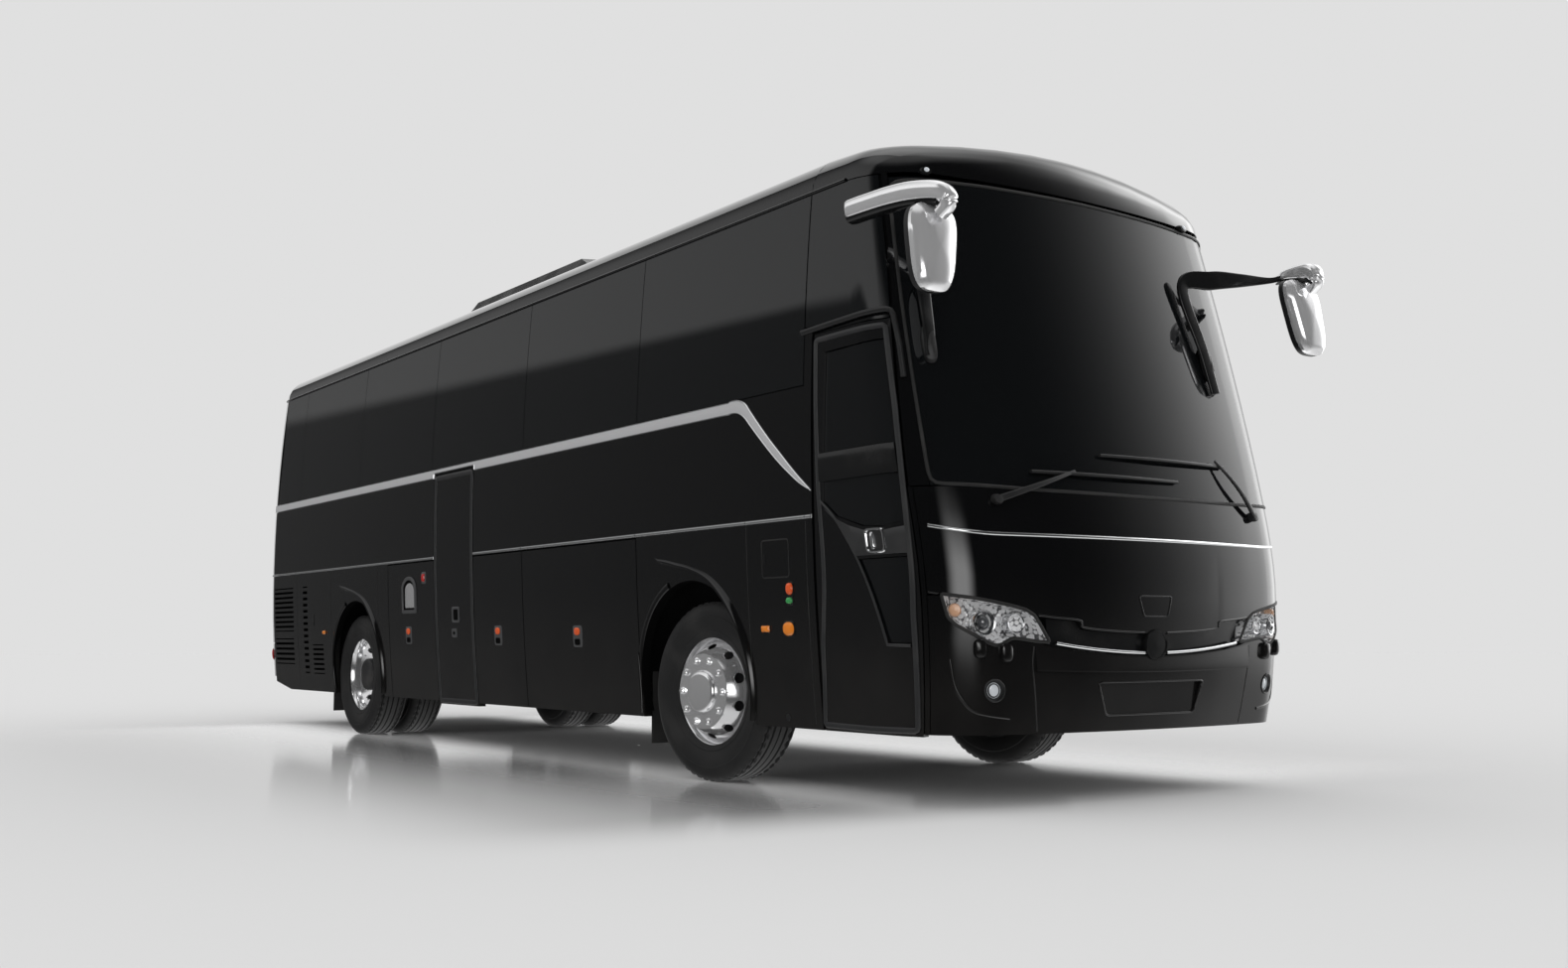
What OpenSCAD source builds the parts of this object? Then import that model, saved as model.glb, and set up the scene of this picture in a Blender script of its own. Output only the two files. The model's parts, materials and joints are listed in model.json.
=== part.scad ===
// Two-axle touring coach. X runs forward, Y to the left, Z up, in millimetres.
// Lengths along X are measured from the front axle and shifted to the middle of the coach by placed().

/* [Body] */
// Width of the body at its widest height
body_w = 2500; // [2450:5:2550]
// Distance between the axles
wheelbase = 5300; // [5200:10:5400]
// Rear axle to the tail
rear_overhang = 2350; // [2300:10:2450]
// Lower edge of the side skirt
skirt_z = 320; // [300:5:340]
// Height at which the body is widest
widest_z = 1720; // [1650:10:1800]
// Radius of the bulge of the side walls
wall_r = 13500; // [12000:100:16000]
// Thickness of a wall, door or flap
wall_t = 50; // [40:1:60]
// Top of the side walls, under the gutter
gutter_z = 2970; // [2960:5:2990]
// Highest line of the roof
crown_z = 3280; // [3260:5:3300]
// Radius of the roof crown
crown_r = 5000; // [4500:100:6000]
// Radius between wall and roof
roof_edge_r = 170; // [140:5:200]

/* [Nose] */
// Foremost point of the body ahead of the front axle
nose_x = 2135; // [2100:5:2150]
// Height of the foremost point
nose_z = 950; // [900:10:1000]
// Lean of the windscreen, rise to run
rake = 0.25; // [0.2:0.01:0.3]
// Length over which the nose bends into the lean
hood_round = 320; // [250:10:400]
// Radius of the chin below the foremost point
chin_r = 3500; // [3000:100:5000]
// Plan radius of the front corners
corner_r = 350; // [320:5:380]
// Plan radius of the front face
bow_r = 5000; // [4500:100:6000]

/* [Tail] */
// Lean of the tail above its lower edge
tail_rake = 0.07; // [0.05:0.01:0.1]
// Height where the tail starts to lean
tail_z = 1000; // [900:10:1100]
// Plan radius of the rear corners
tail_corner_r = 250; // [245:5:265]
// Plan radius of the rear face
tail_bow_r = 8000; // [7000:100:10000]

/* [Glass] */
// Thickness of a pane
glass_t = 8; // [6:1:10]
// Lower edge of the side panes
pane_z = 2000; // [1990:5:2020]
// Lower edge of the windscreen
screen_z0 = 1440; // [1420:5:1460]
// Upper edge of the windscreen
screen_z1 = 2945; // [2920:5:2950]
// Outline share reached by the windscreen's side edge
screen_u = 0.795; // [0.78:0.005:0.8]

/* [Doors and flaps] */
// Gap around a door or flap
gap = 8; // [6:1:10]
// Rear edge of the front door
door_x = 1105; // [1100:1:1110]
// Upper edge of the front door
door_top = 2235; // [2220:5:2250]
// Line of the flap hinges along the belt
belt_z = 1336; // [1330:1:1345]
// Upper edge of the middle door
mid_door_top = 1948; // [1940:1:1955]

/* [Wheels] */
// Outer diameter of a tyre
tyre_d = 958; // [950:1:970]
// Width of a tyre
tyre_w = 268; // [260:1:275]
// Seat diameter of a rim
rim_d = 572; // [570:1:574]
// Middle of a front wheel from the centre line
front_y = 1038; // [1030:1:1045]
// Middle of an outer rear wheel from the centre line
rear_y = 1026; // [1020:1:1030]
// Distance between twin wheels
twin_y = 310; // [305:1:320]
// Kingpin from the centre line
kingpin_y = 900; // [890:1:910]
// Steering angle of the front wheels as parked, to the left
steer_deg = 6.8; // [0:0.1:8]

/* [Hidden] */

half_w = body_w / 2;
// Share of the half outline taken by the bow, the rest is the corner
bow_share = 0.6;
// Bed of glue between a pane and the wall behind it
pane_gap = 5;
// Sill on which a pane stands
sill = 6;
// Seam between two fixed panels
seam = 4;
// Range of Y through which a cut in a side wall passes
cut_y = [900, 1400];
tail_x = -wheelbase - rear_overhang;
mirror_tip_x = 2180;
front_axle_x = -(tail_x + max(nose_x, mirror_tip_x)) / 2;
axle_z = tyre_d / 2;
right = -1;
left = 1;
shell_t = 45;
level_step = 150;
// Front seam of the extruded walls, just behind the front door
seam_x = 1085;
// Rear corner panels: run of the seam ahead of the tail
tail_seam = 310;
// Rear end of the extruded walls
wall_x0 = tail_x + tail_seam;
// Pillars between side panes, front to rear
pillars = [1020, -621, -2116, -3635, -5134, -6623, -7195];
pillar_w = 110;
rail_h = 70;
// Flaps: side, rear edge, front edge
flaps = [[right, -2113, -630], [right, -2882, -2121], [right, -4471, -3578],
         [left, -2113, -630], [left, -3296, -2121], [left, -4471, -3304]];
// Middle door: rear edge, front edge, lower edge
mid_door = [-3570, -2890, 300];
// Wheel arches: axle position, centre offset
arches = [[0, -54], [-wheelbase, 94]];
arch_r = 565;
arch_z = 508;
// Side grilles: rear edge, front edge, lower edge, upper edge, slats
grilles = [[-7300, -6775, 835, 1224, 9], [-7300, -6785, 544, 774, 5],
           [-6507, -6392, 471, 1225, 14], [-6277, -6007, 469, 721, 6]];
floor_z = 1300;
cab_z = 860;
step_z = 420;
// Inner side of the entrance step well
well_y = -460;

module placed() {
    translate([front_axle_x, 0, 0]) children();
}

module along_x(x0, x1) {
    translate([x0, 0, 0]) rotate([90, 0, 90]) linear_extrude(x1 - x0) children();
}

module along_y(y0, y1) {
    translate([0, y1, 0]) rotate([90, 0, 0]) linear_extrude(y1 - y0) children();
}

module block(x0, x1, y0, y1, z0, z1) {
    translate([x0, y0, z0]) cube([x1 - x0, y1 - y0, z1 - z0]);
}

// Half width of the body at a height
function wall_y(z) = half_w - pow(z - widest_z, 2) / (2 * wall_r);

// Heights from z0 to z1, with the shared levels between them
function levels(z0, z1) =
    let (first = ceil((z0 + 5) / level_step), last = floor((z1 - 5) / level_step))
    concat([z0], [for (k = [first : last]) k * level_step], [z1]);

// Curved strip of side wall between two depths below the outer skin
module wall_panel(side, x0, x1, z0, z1, d0, d1) {
    zs = levels(z0, z1);
    outer = [for (z = zs) [side * (wall_y(z) - d0), z]];
    inner = [for (i = [len(zs) - 1 : -1 : 0]) [side * (wall_y(zs[i]) - d1), zs[i]]];
    along_x(x0, x1) polygon(concat(outer, inner));
}

// Prism that cuts through one side wall
module side_cut(side, x0, x1, z0, z1) {
    block(x0, x1, side > 0 ? cut_y[0] : -cut_y[1], side > 0 ? cut_y[1] : -cut_y[0], z0, z1);
}

module arch_cut(side, grow) {
    for (a = arches) {
        x = a[0] + a[1];
        translate([x, side > 0 ? cut_y[1] : -cut_y[0], arch_z]) rotate([90, 0, 0])
            cylinder(r = arch_r + grow, h = cut_y[1] - cut_y[0], $fn = 96);
        side_cut(side, x - arch_r - grow, x + arch_r + grow, 0, arch_z);
    }
}

// Foremost and rearmost point of the body at a height
function hood_back(h) = rake * (sqrt(pow(h, 2) + pow(hood_round, 2)) - hood_round);
function nose_at(z) = nose_x - (z > nose_z ? hood_back(z - nose_z) : pow(nose_z - z, 2) / (2 * chin_r));
function tail_at(z) = tail_x + tail_rake * max(z - tail_z, 0);
function tail_seam_x(z) = tail_at(z) + tail_seam;

// Wedge under the skirt where it rises towards the tail
rise_x = -6935;
rise_z = 433;
module rise_cut() {
    along_y(-cut_y[1], cut_y[1]) polygon([[rise_x, 0], [rise_x, skirt_z], [tail_x, rise_z], [tail_x, 0]]);
}

// Wedge that trims the walls along the leaning tail seam
module tail_cut() {
    along_y(-cut_y[1], cut_y[1])
        polygon([[tail_x, 0], [wall_x0, 0], [wall_x0, tail_z], [tail_seam_x(crown_z), crown_z],
                 [tail_x, crown_z]]);
}

// Point of the front (end 1) or rear (end -1) skin at outline share u, height z and depth d.
// Share 0 is the middle, bow_share the end of the bow, 1 the end of the corner, above 1 it runs on in metres.
function end_point(end, u, z, d) =
    let (a = abs(u), r = end > 0 ? corner_r : tail_corner_r, bow = end > 0 ? bow_r : tail_bow_r,
         tip = end > 0 ? nose_at(z) : tail_at(z), reach = wall_y(z) - r,
         y = min(a / bow_share, 1) * reach, lean = atan(y / bow),
         turn = a <= bow_share ? lean : lean + (90 - lean) * min((a - bow_share) / (1 - bow_share), 1),
         back = r + y * y / (2 * bow) - (r - d) * cos(turn) + 1000 * max(a - 1, 0))
    [tip - end * back, sign(u) * (y + (r - d) * sin(turn)), z];

// Outline share at which the skin passes a given X
function share_at(end, x, z) =
    let (r = end > 0 ? corner_r : tail_corner_r, bow = end > 0 ? bow_r : tail_bow_r,
         tip = end > 0 ? nose_at(z) : tail_at(z), reach = wall_y(z) - r, lean = atan(reach / bow),
         centre = tip - end * (r + reach * reach / (2 * bow)), run = end * (x - centre))
    run > 0 ? bow_share + (1 - bow_share) * (acos(min(run / r, 1)) - lean) / (90 - lean) : 1 - run / 1000;

// Closed shell between two grids of points, first index to the left, second upwards as seen from outside
module shell(outer, inner) {
    n = len(outer);
    m = len(outer[0]);
    o = function(i, j) i * m + j;
    k = function(i, j) n * m + i * m + j;
    faces = concat(
        [for (i = [0 : n - 2], j = [0 : m - 2]) [o(i, j), o(i, j + 1), o(i + 1, j + 1), o(i + 1, j)]],
        [for (i = [0 : n - 2], j = [0 : m - 2]) [k(i, j), k(i + 1, j), k(i + 1, j + 1), k(i, j + 1)]],
        [for (i = [0 : n - 2]) [o(i, 0), o(i + 1, 0), k(i + 1, 0), k(i, 0)]],
        [for (i = [0 : n - 2]) [o(i + 1, m - 1), o(i, m - 1), k(i, m - 1), k(i + 1, m - 1)]],
        [for (j = [0 : m - 2]) [o(0, j + 1), o(0, j), k(0, j), k(0, j + 1)]],
        [for (j = [0 : m - 2]) [o(n - 1, j), o(n - 1, j + 1), k(n - 1, j + 1), k(n - 1, j)]]);
    polyhedron(concat([for (row = outer) each row], [for (row = inner) each row]), faces);
}

// Patch of the front or rear skin. spot(s, t) gives [share, height] for s and t from 0 to 1.
module patch(end, spot, ns, nt, d0, d1) {
    grid = function(d) [for (i = [0 : ns]) [for (j = [0 : nt])
        let (q = spot(end > 0 ? i / ns : 1 - i / ns, j / nt)) end_point(end, q[0], q[1], d)]];
    shell(grid(d0), grid(d1));
}

// Patch between two shares and two heights
module plain_patch(end, u0, u1, z0, z1, ns, nt, d0, d1) {
    patch(end, function(s, t) [u0 + (u1 - u0) * s, z0 + (z1 - z0) * t], ns, nt, d0, d1);
}

// Share of the front edge of the door: near upright below, leaning back with the windscreen above
door_edge_u = 0.886;
door_lean_u = 0.045;
door_lean_z = [1500, 2300];
door_least_u = 0.83;
function door_share(z) =
    let (lean = max((z - door_lean_z[0]) / (door_lean_z[1] - door_lean_z[0]), 0))
    max(door_edge_u - door_lean_u * lean, door_least_u);

module right_wall() {
    color("#0c0d0f") placed() difference() {
        union() {
            wall_panel(right, wall_x0, seam_x, skirt_z, pane_z - sill, 0, wall_t);
            wall_panel(right, wall_x0, seam_x, pane_z - sill, gutter_z, glass_t + pane_gap, wall_t);
            wall_panel(right, pillars[0] + seam, seam_x, pane_z - sill, header_z + header_lap - sill,
                       0, wall_t);
        }
        window_cuts(right);
        flap_cuts(right);
        arch_cut(right, 0);
        side_cut(right, mid_door[0] - gap, mid_door[1] + gap, 0, mid_door_top + gap);
        grille_cuts(right);
        tail_cut();
        rise_cut();
    }
}

module left_wall() {
    color("#0c0d0f") placed() difference() {
        union() {
            wall_panel(left, wall_x0, seam_x, skirt_z, pane_z - sill, 0, wall_t);
            wall_panel(left, wall_x0, seam_x, pane_z - sill, gutter_z, glass_t + pane_gap, wall_t);
            wall_panel(left, pillars[0] + seam, seam_x, pane_z - sill, gutter_z, 0, wall_t);
        }
        window_cuts(left);
        flap_cuts(left);
        arch_cut(left, 0);
        grille_cuts(left);
        tail_cut();
        rise_cut();
    }
}

module window_cuts(side) {
    for (i = [0 : len(pillars) - 2])
        side_cut(side, pillars[i + 1] + pillar_w / 2, pillars[i] - pillar_w / 2,
                 pane_z + rail_h, gutter_z - rail_h);
}

module flap_cuts(side) {
    for (f = flaps)
        if (f[0] == side) side_cut(side, f[1] - gap, f[2] + gap, 0, belt_z);
}

module grille_cuts(side) {
    for (g = grilles) side_cut(side, g[0], g[1], g[2], g[3]);
}

// Louvres set in the wall openings at the tail: depths of the back plate and the slats, share of the pitch
grille_back = [36, 46];
grille_sink = 6;
slat = [0.2, 0.75];
module side_grilles() {
    color("#101112") placed() for (side = [right, left], g = grilles) {
        pitch = (g[3] - g[2]) / g[4];
        wall_panel(side, g[0], g[1], g[2], g[3], grille_back[0], grille_back[1]);
        for (k = [0 : g[4] - 1])
            wall_panel(side, g[0], g[1], g[2] + pitch * (k + slat[0]), g[2] + pitch * (k + slat[1]),
                       grille_sink, grille_back[0] + 1);
    }
}

// Joint between neighbouring panes
pane_joint = 6;
module side_panes(side) {
    for (i = [0 : len(pillars) - 2])
        wall_panel(side, pillars[i + 1] + pane_joint / 2, pillars[i] - pane_joint / 2, pane_z, gutter_z - seam,
                   0, glass_t);
}

module right_glass() {
    color("#15171a") placed() {
        side_panes(right);
        header_pane();
    }
}

module left_glass() {
    color("#15171a") placed() {
        side_panes(left);
        cab_pane();
    }
}

// Panel over the front door: its foot, how far its pane starts above that, and the pane's rear edge
header_z = door_top + gap;
header_lap = 40;
header_x = 1026;
// Shares by which panes and panels stand off the pillar
pane_u = 0.004;
// Columns of the corner patches
corner_cols = 14;
module header_pane() {
    foot = header_z + header_lap;
    patch(1, function(s, t) let (z = foot + (gutter_z - sill - foot) * t, b = share_at(1, header_x, z))
        [-(b + (door_share(z) + pane_u - b) * s), z], corner_cols, 5, 0, glass_t);
}

// Rear edge of the panels ahead of the wall seam
cab_x0 = seam_x + 2;
// Opening behind the pane: rear edge, front edge, distance from foot and top
header_hole = [1180, 1500, 110, 90];
module door_header() {
    color("#0c0d0f") placed() difference() {
        patch(1, function(s, t) let (z = header_z + (gutter_z - header_z) * t, b = share_at(1, cab_x0, z))
            [-(b + (door_share(z) - pane_u - b) * s), z], corner_cols, 5, glass_t + pane_gap, wall_t);
        side_cut(right, header_hole[0], header_hole[1], header_z + header_hole[2], gutter_z - header_hole[3]);
    }
}

// Cab side on the left, from the wall seam to the windscreen pillar, with the driver's window:
// foot of the pane, then rear edge, front edge, foot and distance from the top of the opening
cab_sill_z = 1740;
cab_hole = [1160, 1520, 1830, 90];
module cab_side() {
    color("#0c0d0f") placed() difference() {
        union() {
            patch(1, function(s, t) let (z = skirt_z + (cab_sill_z - skirt_z) * t, b = share_at(1, cab_x0, z))
                [door_share(z) + (b - door_share(z)) * s, z], corner_cols, 8, 0, wall_t);
            patch(1, function(s, t)
                let (z = cab_sill_z + (gutter_z - cab_sill_z) * t, b = share_at(1, cab_x0, z))
                [door_share(z) + (b - door_share(z)) * s, z], corner_cols, 7, glass_t + pane_gap, wall_t);
        }
        side_cut(left, cab_hole[0], cab_hole[1], cab_hole[2], gutter_z - cab_hole[3]);
    }
}

module cab_pane() {
    foot = cab_sill_z + gap;
    patch(1, function(s, t) let (z = foot + (gutter_z - sill - foot) * t, b = share_at(1, seam_x + 5, z))
        [door_share(z) + pane_u + (b - door_share(z) - pane_u) * s, z], corner_cols, 7, 0, glass_t);
}

// Side profile of the roof from gutter to gutter, at a depth below the skin
function crown_at(y, d) = crown_z - d - y * y / (2 * crown_r);
edge_y = wall_y(gutter_z);
function roof_side(d) = [for (t = [0 : 15 : 90])
    let (y = edge_y - roof_edge_r + (roof_edge_r - d) * cos(t))
    [y, gutter_z + (crown_at(y, d) - gutter_z) * sin(t)]];
function roof_outline(d) = let (side = roof_side(d), inner = edge_y - roof_edge_r)
    concat(side, [for (k = [1 : 9]) let (y = inner * (1 - k / 5)) [y, crown_at(y, d)]],
           [for (i = [len(side) - 1 : -1 : 0]) [-side[i][0], side[i][1]]]);

// Rear edge of the rounded front end
cap_x = seam_x - 60;
module roof() {
    color("#0b0c0e") placed() along_x(tail_seam_x(gutter_z), cap_x - 2) difference() {
        polygon(roof_outline(0));
        polygon(concat([[edge_y - wall_t, gutter_z - 20]], roof_outline(wall_t),
                       [[-edge_y + wall_t, gutter_z - 20]]));
    }
}

// Rounded end of the roof. Rows run from the right gutter over the crown to the left gutter.
turns = [0, 20, 40, 60, 75, 90];
// Fall of the crown towards an end: X where it starts, run, fall
front_fall = [1020, 660, 95];
rear_fall = [-7330, 300, 60];
function roof_drop(end, x) =
    let (f = end > 0 ? front_fall : rear_fall)
    f[2] * pow(max(end * (x - f[0]), 0) / f[1], 2);
function cap_side(end, u, d) = [for (t = turns)
    let (p = end_point(end, u, gutter_z, d + (roof_edge_r - d) * (1 - cos(t))))
    [p[0], p[1], gutter_z + (crown_at(p[1], d) - roof_drop(end, p[0]) - gutter_z) * sin(t)]];
function cap_row(end, u, d) =
    let (r = cap_side(end, -u, d), top = r[len(r) - 1], fall = roof_drop(end, top[0]))
    concat(r, [for (k = [1 : 5]) let (y = top[1] * (1 - k / 3)) [top[0], y, crown_at(y, d) - fall]],
           [for (i = [len(r) - 1 : -1 : 0]) [r[i][0], -r[i][1], r[i][2]]]);

module roof_cap(end, back_x, d) {
    start = share_at(end, back_x, gutter_z);
    corner = [for (k = [0 : 6]) 1 - (1 - bow_share) * k / 6];
    shares = concat([start], [for (u = corner) if (u < start - 0.01) u], [0.45, 0.3, 0.15, 0.03]);
    grid = function(depth) [for (u = shares) cap_row(end, u, depth)];
    outer = end > 0 ? grid(0) : [for (row = grid(0)) [for (j = [len(row) - 1 : -1 : 0]) row[j]]];
    inner = end > 0 ? grid(d) : [for (row = grid(d)) [for (j = [len(row) - 1 : -1 : 0]) row[j]]];
    capped_shell(outer, inner, len(turns));
}

// Shell whose last row folds round to close the nose
module capped_shell(outer, inner, fold) {
    n = len(outer);
    m = len(outer[0]);
    o = function(i, j) i * m + j;
    k = function(i, j) n * m + i * m + j;
    e = n - 1;
    faces = concat(
        [for (i = [0 : n - 2], j = [0 : m - 2]) [o(i, j), o(i, j + 1), o(i + 1, j + 1), o(i + 1, j)]],
        [for (i = [0 : n - 2], j = [0 : m - 2]) [k(i, j), k(i + 1, j), k(i + 1, j + 1), k(i, j + 1)]],
        [for (i = [0 : n - 2]) [o(i, 0), o(i + 1, 0), k(i + 1, 0), k(i, 0)]],
        [for (i = [0 : n - 2]) [o(i + 1, m - 1), o(i, m - 1), k(i, m - 1), k(i + 1, m - 1)]],
        [for (j = [0 : m - 2]) [o(0, j + 1), o(0, j), k(0, j), k(0, j + 1)]],
        [for (j = [0 : fold - 2]) [o(e, j), o(e, j + 1), o(e, m - 2 - j), o(e, m - 1 - j)]],
        [for (j = [0 : fold - 2]) [k(e, m - 1 - j), k(e, m - 2 - j), k(e, j + 1), k(e, j)]],
        [[for (j = [fold - 1 : m - fold]) o(e, j)], [for (j = [m - fold : -1 : fold - 1]) k(e, j)]],
        [[o(e, 0), o(e, m - 1), k(e, m - 1), k(e, 0)]]);
    polyhedron(concat([for (row = outer) each row], [for (row = inner) each row]), faces);
}

module roof_front() {
    color("#0b0c0e") placed() roof_cap(1, cap_x, shell_t);
}

module roof_rear() {
    color("#0b0c0e") placed() roof_cap(-1, tail_seam_x(gutter_z) - 2, shell_t);
}

// Outline share of the outer edges of nose panel and bumper
panel_u = 0.862;
// Lower edge of the nose panel: outline share, height
nose_edge = [[0.05, 781], [0.189, 789], [0.298, 802], [0.315, 838], [0.415, 850], [0.46, 856], [0.505, 885],
             [0.553, 902], [0.65, 927], [0.763, 946], [0.811, 954], [panel_u, 958]];
// Upper edge of the bumper: outline share, height
bumper_edge = [[0.05, 676], [0.189, 684], [0.344, 703], [0.425, 722], [0.478, 742], [0.553, 760],
               [0.571, 749], [0.591, 731], [0.618, 727], [0.65, 740], [0.721, 788], [0.763, 818],
               [0.79, 849], [0.811, 944], [panel_u, 948]];
// Shares at which the front is divided, from the middle to the corner
front_cols = [0.05, 0.119, 0.189, 0.243, 0.298, 0.315, 0.344, 0.38, 0.425, 0.46, 0.478, 0.505, 0.553, 0.571,
              0.591, 0.618, 0.65, 0.686, 0.721, 0.763, 0.79, 0.811, 0.836, panel_u];
both_cols = concat([for (i = [len(front_cols) - 1 : -1 : 0]) -front_cols[i]], front_cols);
// Headlamp: shares of its inner edge below and above, and of its outer end
lamp_u = [0.428, 0.478, 0.782];
lamp_depth = [2, 85];
lamp_gap = 4;
// Air slot: outline share of its ends, depth of its back
slot_u = 0.425;
slot_depth = 24;
// Licence plate recess in the bumper: half width above and below, heights, X of its floor
plate_y = [350, 295];
plate_z = [402, 558];
plate_x = 2080;

function edge_at(edge, u) = lookup(abs(u), edge);

// Patch of the front between two edges, divided at given shares
module front_strip(cols, low, high, nt, d0, d1) {
    n = len(cols) - 1;
    patch(1, function(s, t) let (u = cols[round(s * n)]) [u, low(u) + (high(u) - low(u)) * t],
          n, nt, d0, d1);
}

module front_panel() {
    low = function(u) edge_at(nose_edge, u);
    color("#0d0e10") placed() front_strip(both_cols, low, function(u) screen_z0 - sill, 5, 0, shell_t);
}

// Dark back of the air slot between nose panel and bumper
module front_grille() {
    cols = [for (u = both_cols) if (abs(u) <= slot_u) u];
    low = function(u) edge_at(bumper_edge, u) + lamp_gap;
    high = function(u) edge_at(nose_edge, u) - lamp_gap;
    color("#08090a") placed() front_strip(cols, low, high, 2, slot_depth, shell_t);
}

// Lower edge of the bumper
chin_z = skirt_z + 10;
module bumper() {
    color("#0d0e10") placed() difference() {
        front_strip(both_cols, function(u) chin_z, function(u) edge_at(bumper_edge, u), 6, 0, shell_t);
        for (side = [right, left]) translate(end_point(1, side * fog_u, fog_z, 0)) rotate([0, 90, 0])
            cylinder(r = fog_r + seam - 1, h = 200, center = true, $fn = 48);
        along_x(plate_x, nose_x + 50) polygon([[-plate_y[0], plate_z[1]], [-plate_y[1], plate_z[0]],
                                               [plate_y[1], plate_z[0]], [plate_y[0], plate_z[1]]]);
    }
}

fog_u = 0.625;
fog_z = 528;
fog_r = 42;
module fog_lamps() {
    color("#d9dde0") placed() for (side = [right, left])
        translate(end_point(1, side * fog_u, fog_z, 0) - [36, 0, 0]) rotate([0, 90, 0])
            rotate_extrude($fn = 48)
                polygon([[0, -30], [fog_r, -10], [fog_r, 14], [fog_r - 8, 22], [0, 30]]);
}

// Headlamp with a slanted inner edge, between bumper and nose panel
module headlamp(side) {
    width = lamp_u[2] - lamp_u[0];
    cols = [for (u = front_cols) if (u > lamp_u[0] && u < lamp_u[2]) (u - lamp_u[0]) / width];
    shares = concat([0], cols, [1]);
    n = len(shares) - 1;
    patch(1, function(s, t)
        let (inner = lamp_u[0] + (lamp_u[1] - lamp_u[0]) * t, q = shares[round((side > 0 ? s : 1 - s) * n)],
             u = inner + (lamp_u[2] - inner) * q, z0 = edge_at(bumper_edge, u) + lamp_gap,
             z1 = edge_at(nose_edge, u) - lamp_gap)
        [side * u, z0 + (z1 - z0) * t], n, 4, lamp_depth[0], lamp_depth[1]);
}

module headlamps() {
    color("#cfd4d8") placed() for (side = [right, left]) headlamp(side);
}

// Upright strips between windscreen and door or cab side, one on each side: share of a seam, of the lower post
seam_u = 0.003;
post_u = 0.0185;
module screen_pillars() {
    color("#0c0d0f") placed() for (side = [right, left]) {
        patch(1, function(s, t) let (z = screen_z0 + (gutter_z - screen_z0) * t, a = screen_u + seam_u,
                                     b = door_share(z) - 2 * pane_u, q = side > 0 ? s : 1 - s)
            [side * (a + (b - a) * q), z], 3, 8, 0, wall_t);
        patch(1, function(s, t) let (z = chin_z + (screen_z0 - seam - chin_z) * t, q = side > 0 ? s : 1 - s)
            [side * (panel_u + seam_u + post_u * q), z], 2, 7, 0, wall_t);
    }
}

module windscreen() {
    color("#1a1d20") placed() plain_patch(1, -screen_u, screen_u, screen_z0, screen_z1, 26, 8, 0, glass_t);
}

// Rear face
lid_z0 = 735;
lid_z1 = 1500;
rear_pane_z0 = 2020;
rear_pane_z1 = 2820;
tail_lamp_z0 = 760;
tail_lamp_z1 = 1380;

lid_y = 692;
rear_pane_y = 896;
// Tail lamps: inner and outer edge
tail_lamp_y = [854, 1086];
rear_bumper_z = 430;

// Band of the tail skin from corner seam to corner seam
module tail_strip(z0, z1, nt) {
    patch(-1, function(s, t) let (z = z0 + (z1 - z0) * t, b = share_at(-1, tail_seam_x(z) - 5, z))
        [b * (2 * s - 1), z], 26, nt, 0, shell_t);
}

// Prism through the tail skin
module tail_block(y0, y1, z0, z1) {
    block(tail_x - 100, tail_x + 500, y0, y1, z0, z1);
}

module tail_lamp_block(side, grow) {
    near = tail_lamp_y[0] - grow;
    far = tail_lamp_y[1] + grow;
    tail_block(side > 0 ? near : -far, side > 0 ? far : -near,
               tail_lamp_z0 + seam - grow, tail_lamp_z1 - seam + grow);
}

module rear_panel() {
    color("#0c0d0f") placed() difference() {
        tail_strip(lid_z0, gutter_z, 10);
        tail_block(-lid_y - gap, lid_y + gap, lid_z0 - gap, lid_z1 + gap);
        tail_block(-rear_pane_y - seam, rear_pane_y + seam, rear_pane_z0, rear_pane_z1);
        for (side = [right, left]) tail_lamp_block(side, seam);
    }
}

module rear_glass() {
    color("#15171a") placed() intersection() {
        plain_patch(-1, -bow_share, bow_share, rear_pane_z0 - 50, rear_pane_z1 + 50, 12, 6, 0, glass_t);
        tail_block(-rear_pane_y, rear_pane_y, rear_pane_z0 + seam, rear_pane_z1 - seam);
    }
}

module engine_lid() {
    color("#0c0d0f") placed() intersection() {
        plain_patch(-1, -bow_share, bow_share, lid_z0 + gap, lid_z1, 12, 6, 0, shell_t);
        tail_block(-lid_y, lid_y, lid_z0, lid_z1);
    }
}

module rear_bumper() {
    color("#0d0e10") placed() tail_strip(rear_bumper_z, lid_z0 - gap, 4);
}

module tail_lamps() {
    color("#8c1116") placed() for (side = [right, left]) intersection() {
        plain_patch(-1, side > 0 ? 0.4 : -0.8, side > 0 ? 0.8 : -0.4, tail_lamp_z0 - 40, tail_lamp_z1 + 40,
                    8, 6, 0, shell_t);
        tail_lamp_block(side, 0);
    }
}

// Front door: outline between its rear edge and the pillar
module door_leaf(d0, d1, edge) {
    patch(1, function(s, t) let (z = skirt_z + (door_top - skirt_z) * t, b = share_at(1, door_x + edge, z),
                                 a = door_share(z) + seam_u)
        [-(b + (a - b) * s), z], 7, 10, d0, d1);
}

// Glazed parts of the door, seen from the side: X, height
upper_pane = [[1195, 2137], [1609, 2142], [1698, 1643], [1770, 1285], [1629, 1268], [1478, 1277],
              [1285, 1332], [1175, 1411]];
lower_pane = [[1440, 1125], [1500, 1001], [1563, 864], [1630, 735], [1790, 735], [1775, 1125]];
// Depth of the panes below the door's skin
door_pane_d = 10;
module door_panes(grow) {
    for (pane = [upper_pane, lower_pane]) along_y(-cut_y[1], -cut_y[0]) offset(delta = grow) polygon(pane);
}

module front_door() {
    color("#0c0d0f") placed() difference() {
        door_leaf(0, wall_t, 0);
        door_panes(0);
    }
}

module front_door_glass() {
    color("#15171a") placed() intersection() {
        door_leaf(door_pane_d, door_pane_d + glass_t, 20);
        door_panes(1 - seam);
    }
}

module middle_door() {
    color("#0c0d0f") placed()
        wall_panel(right, mid_door[0], mid_door[1], mid_door[2], mid_door_top, 0, wall_t);
}

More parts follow.
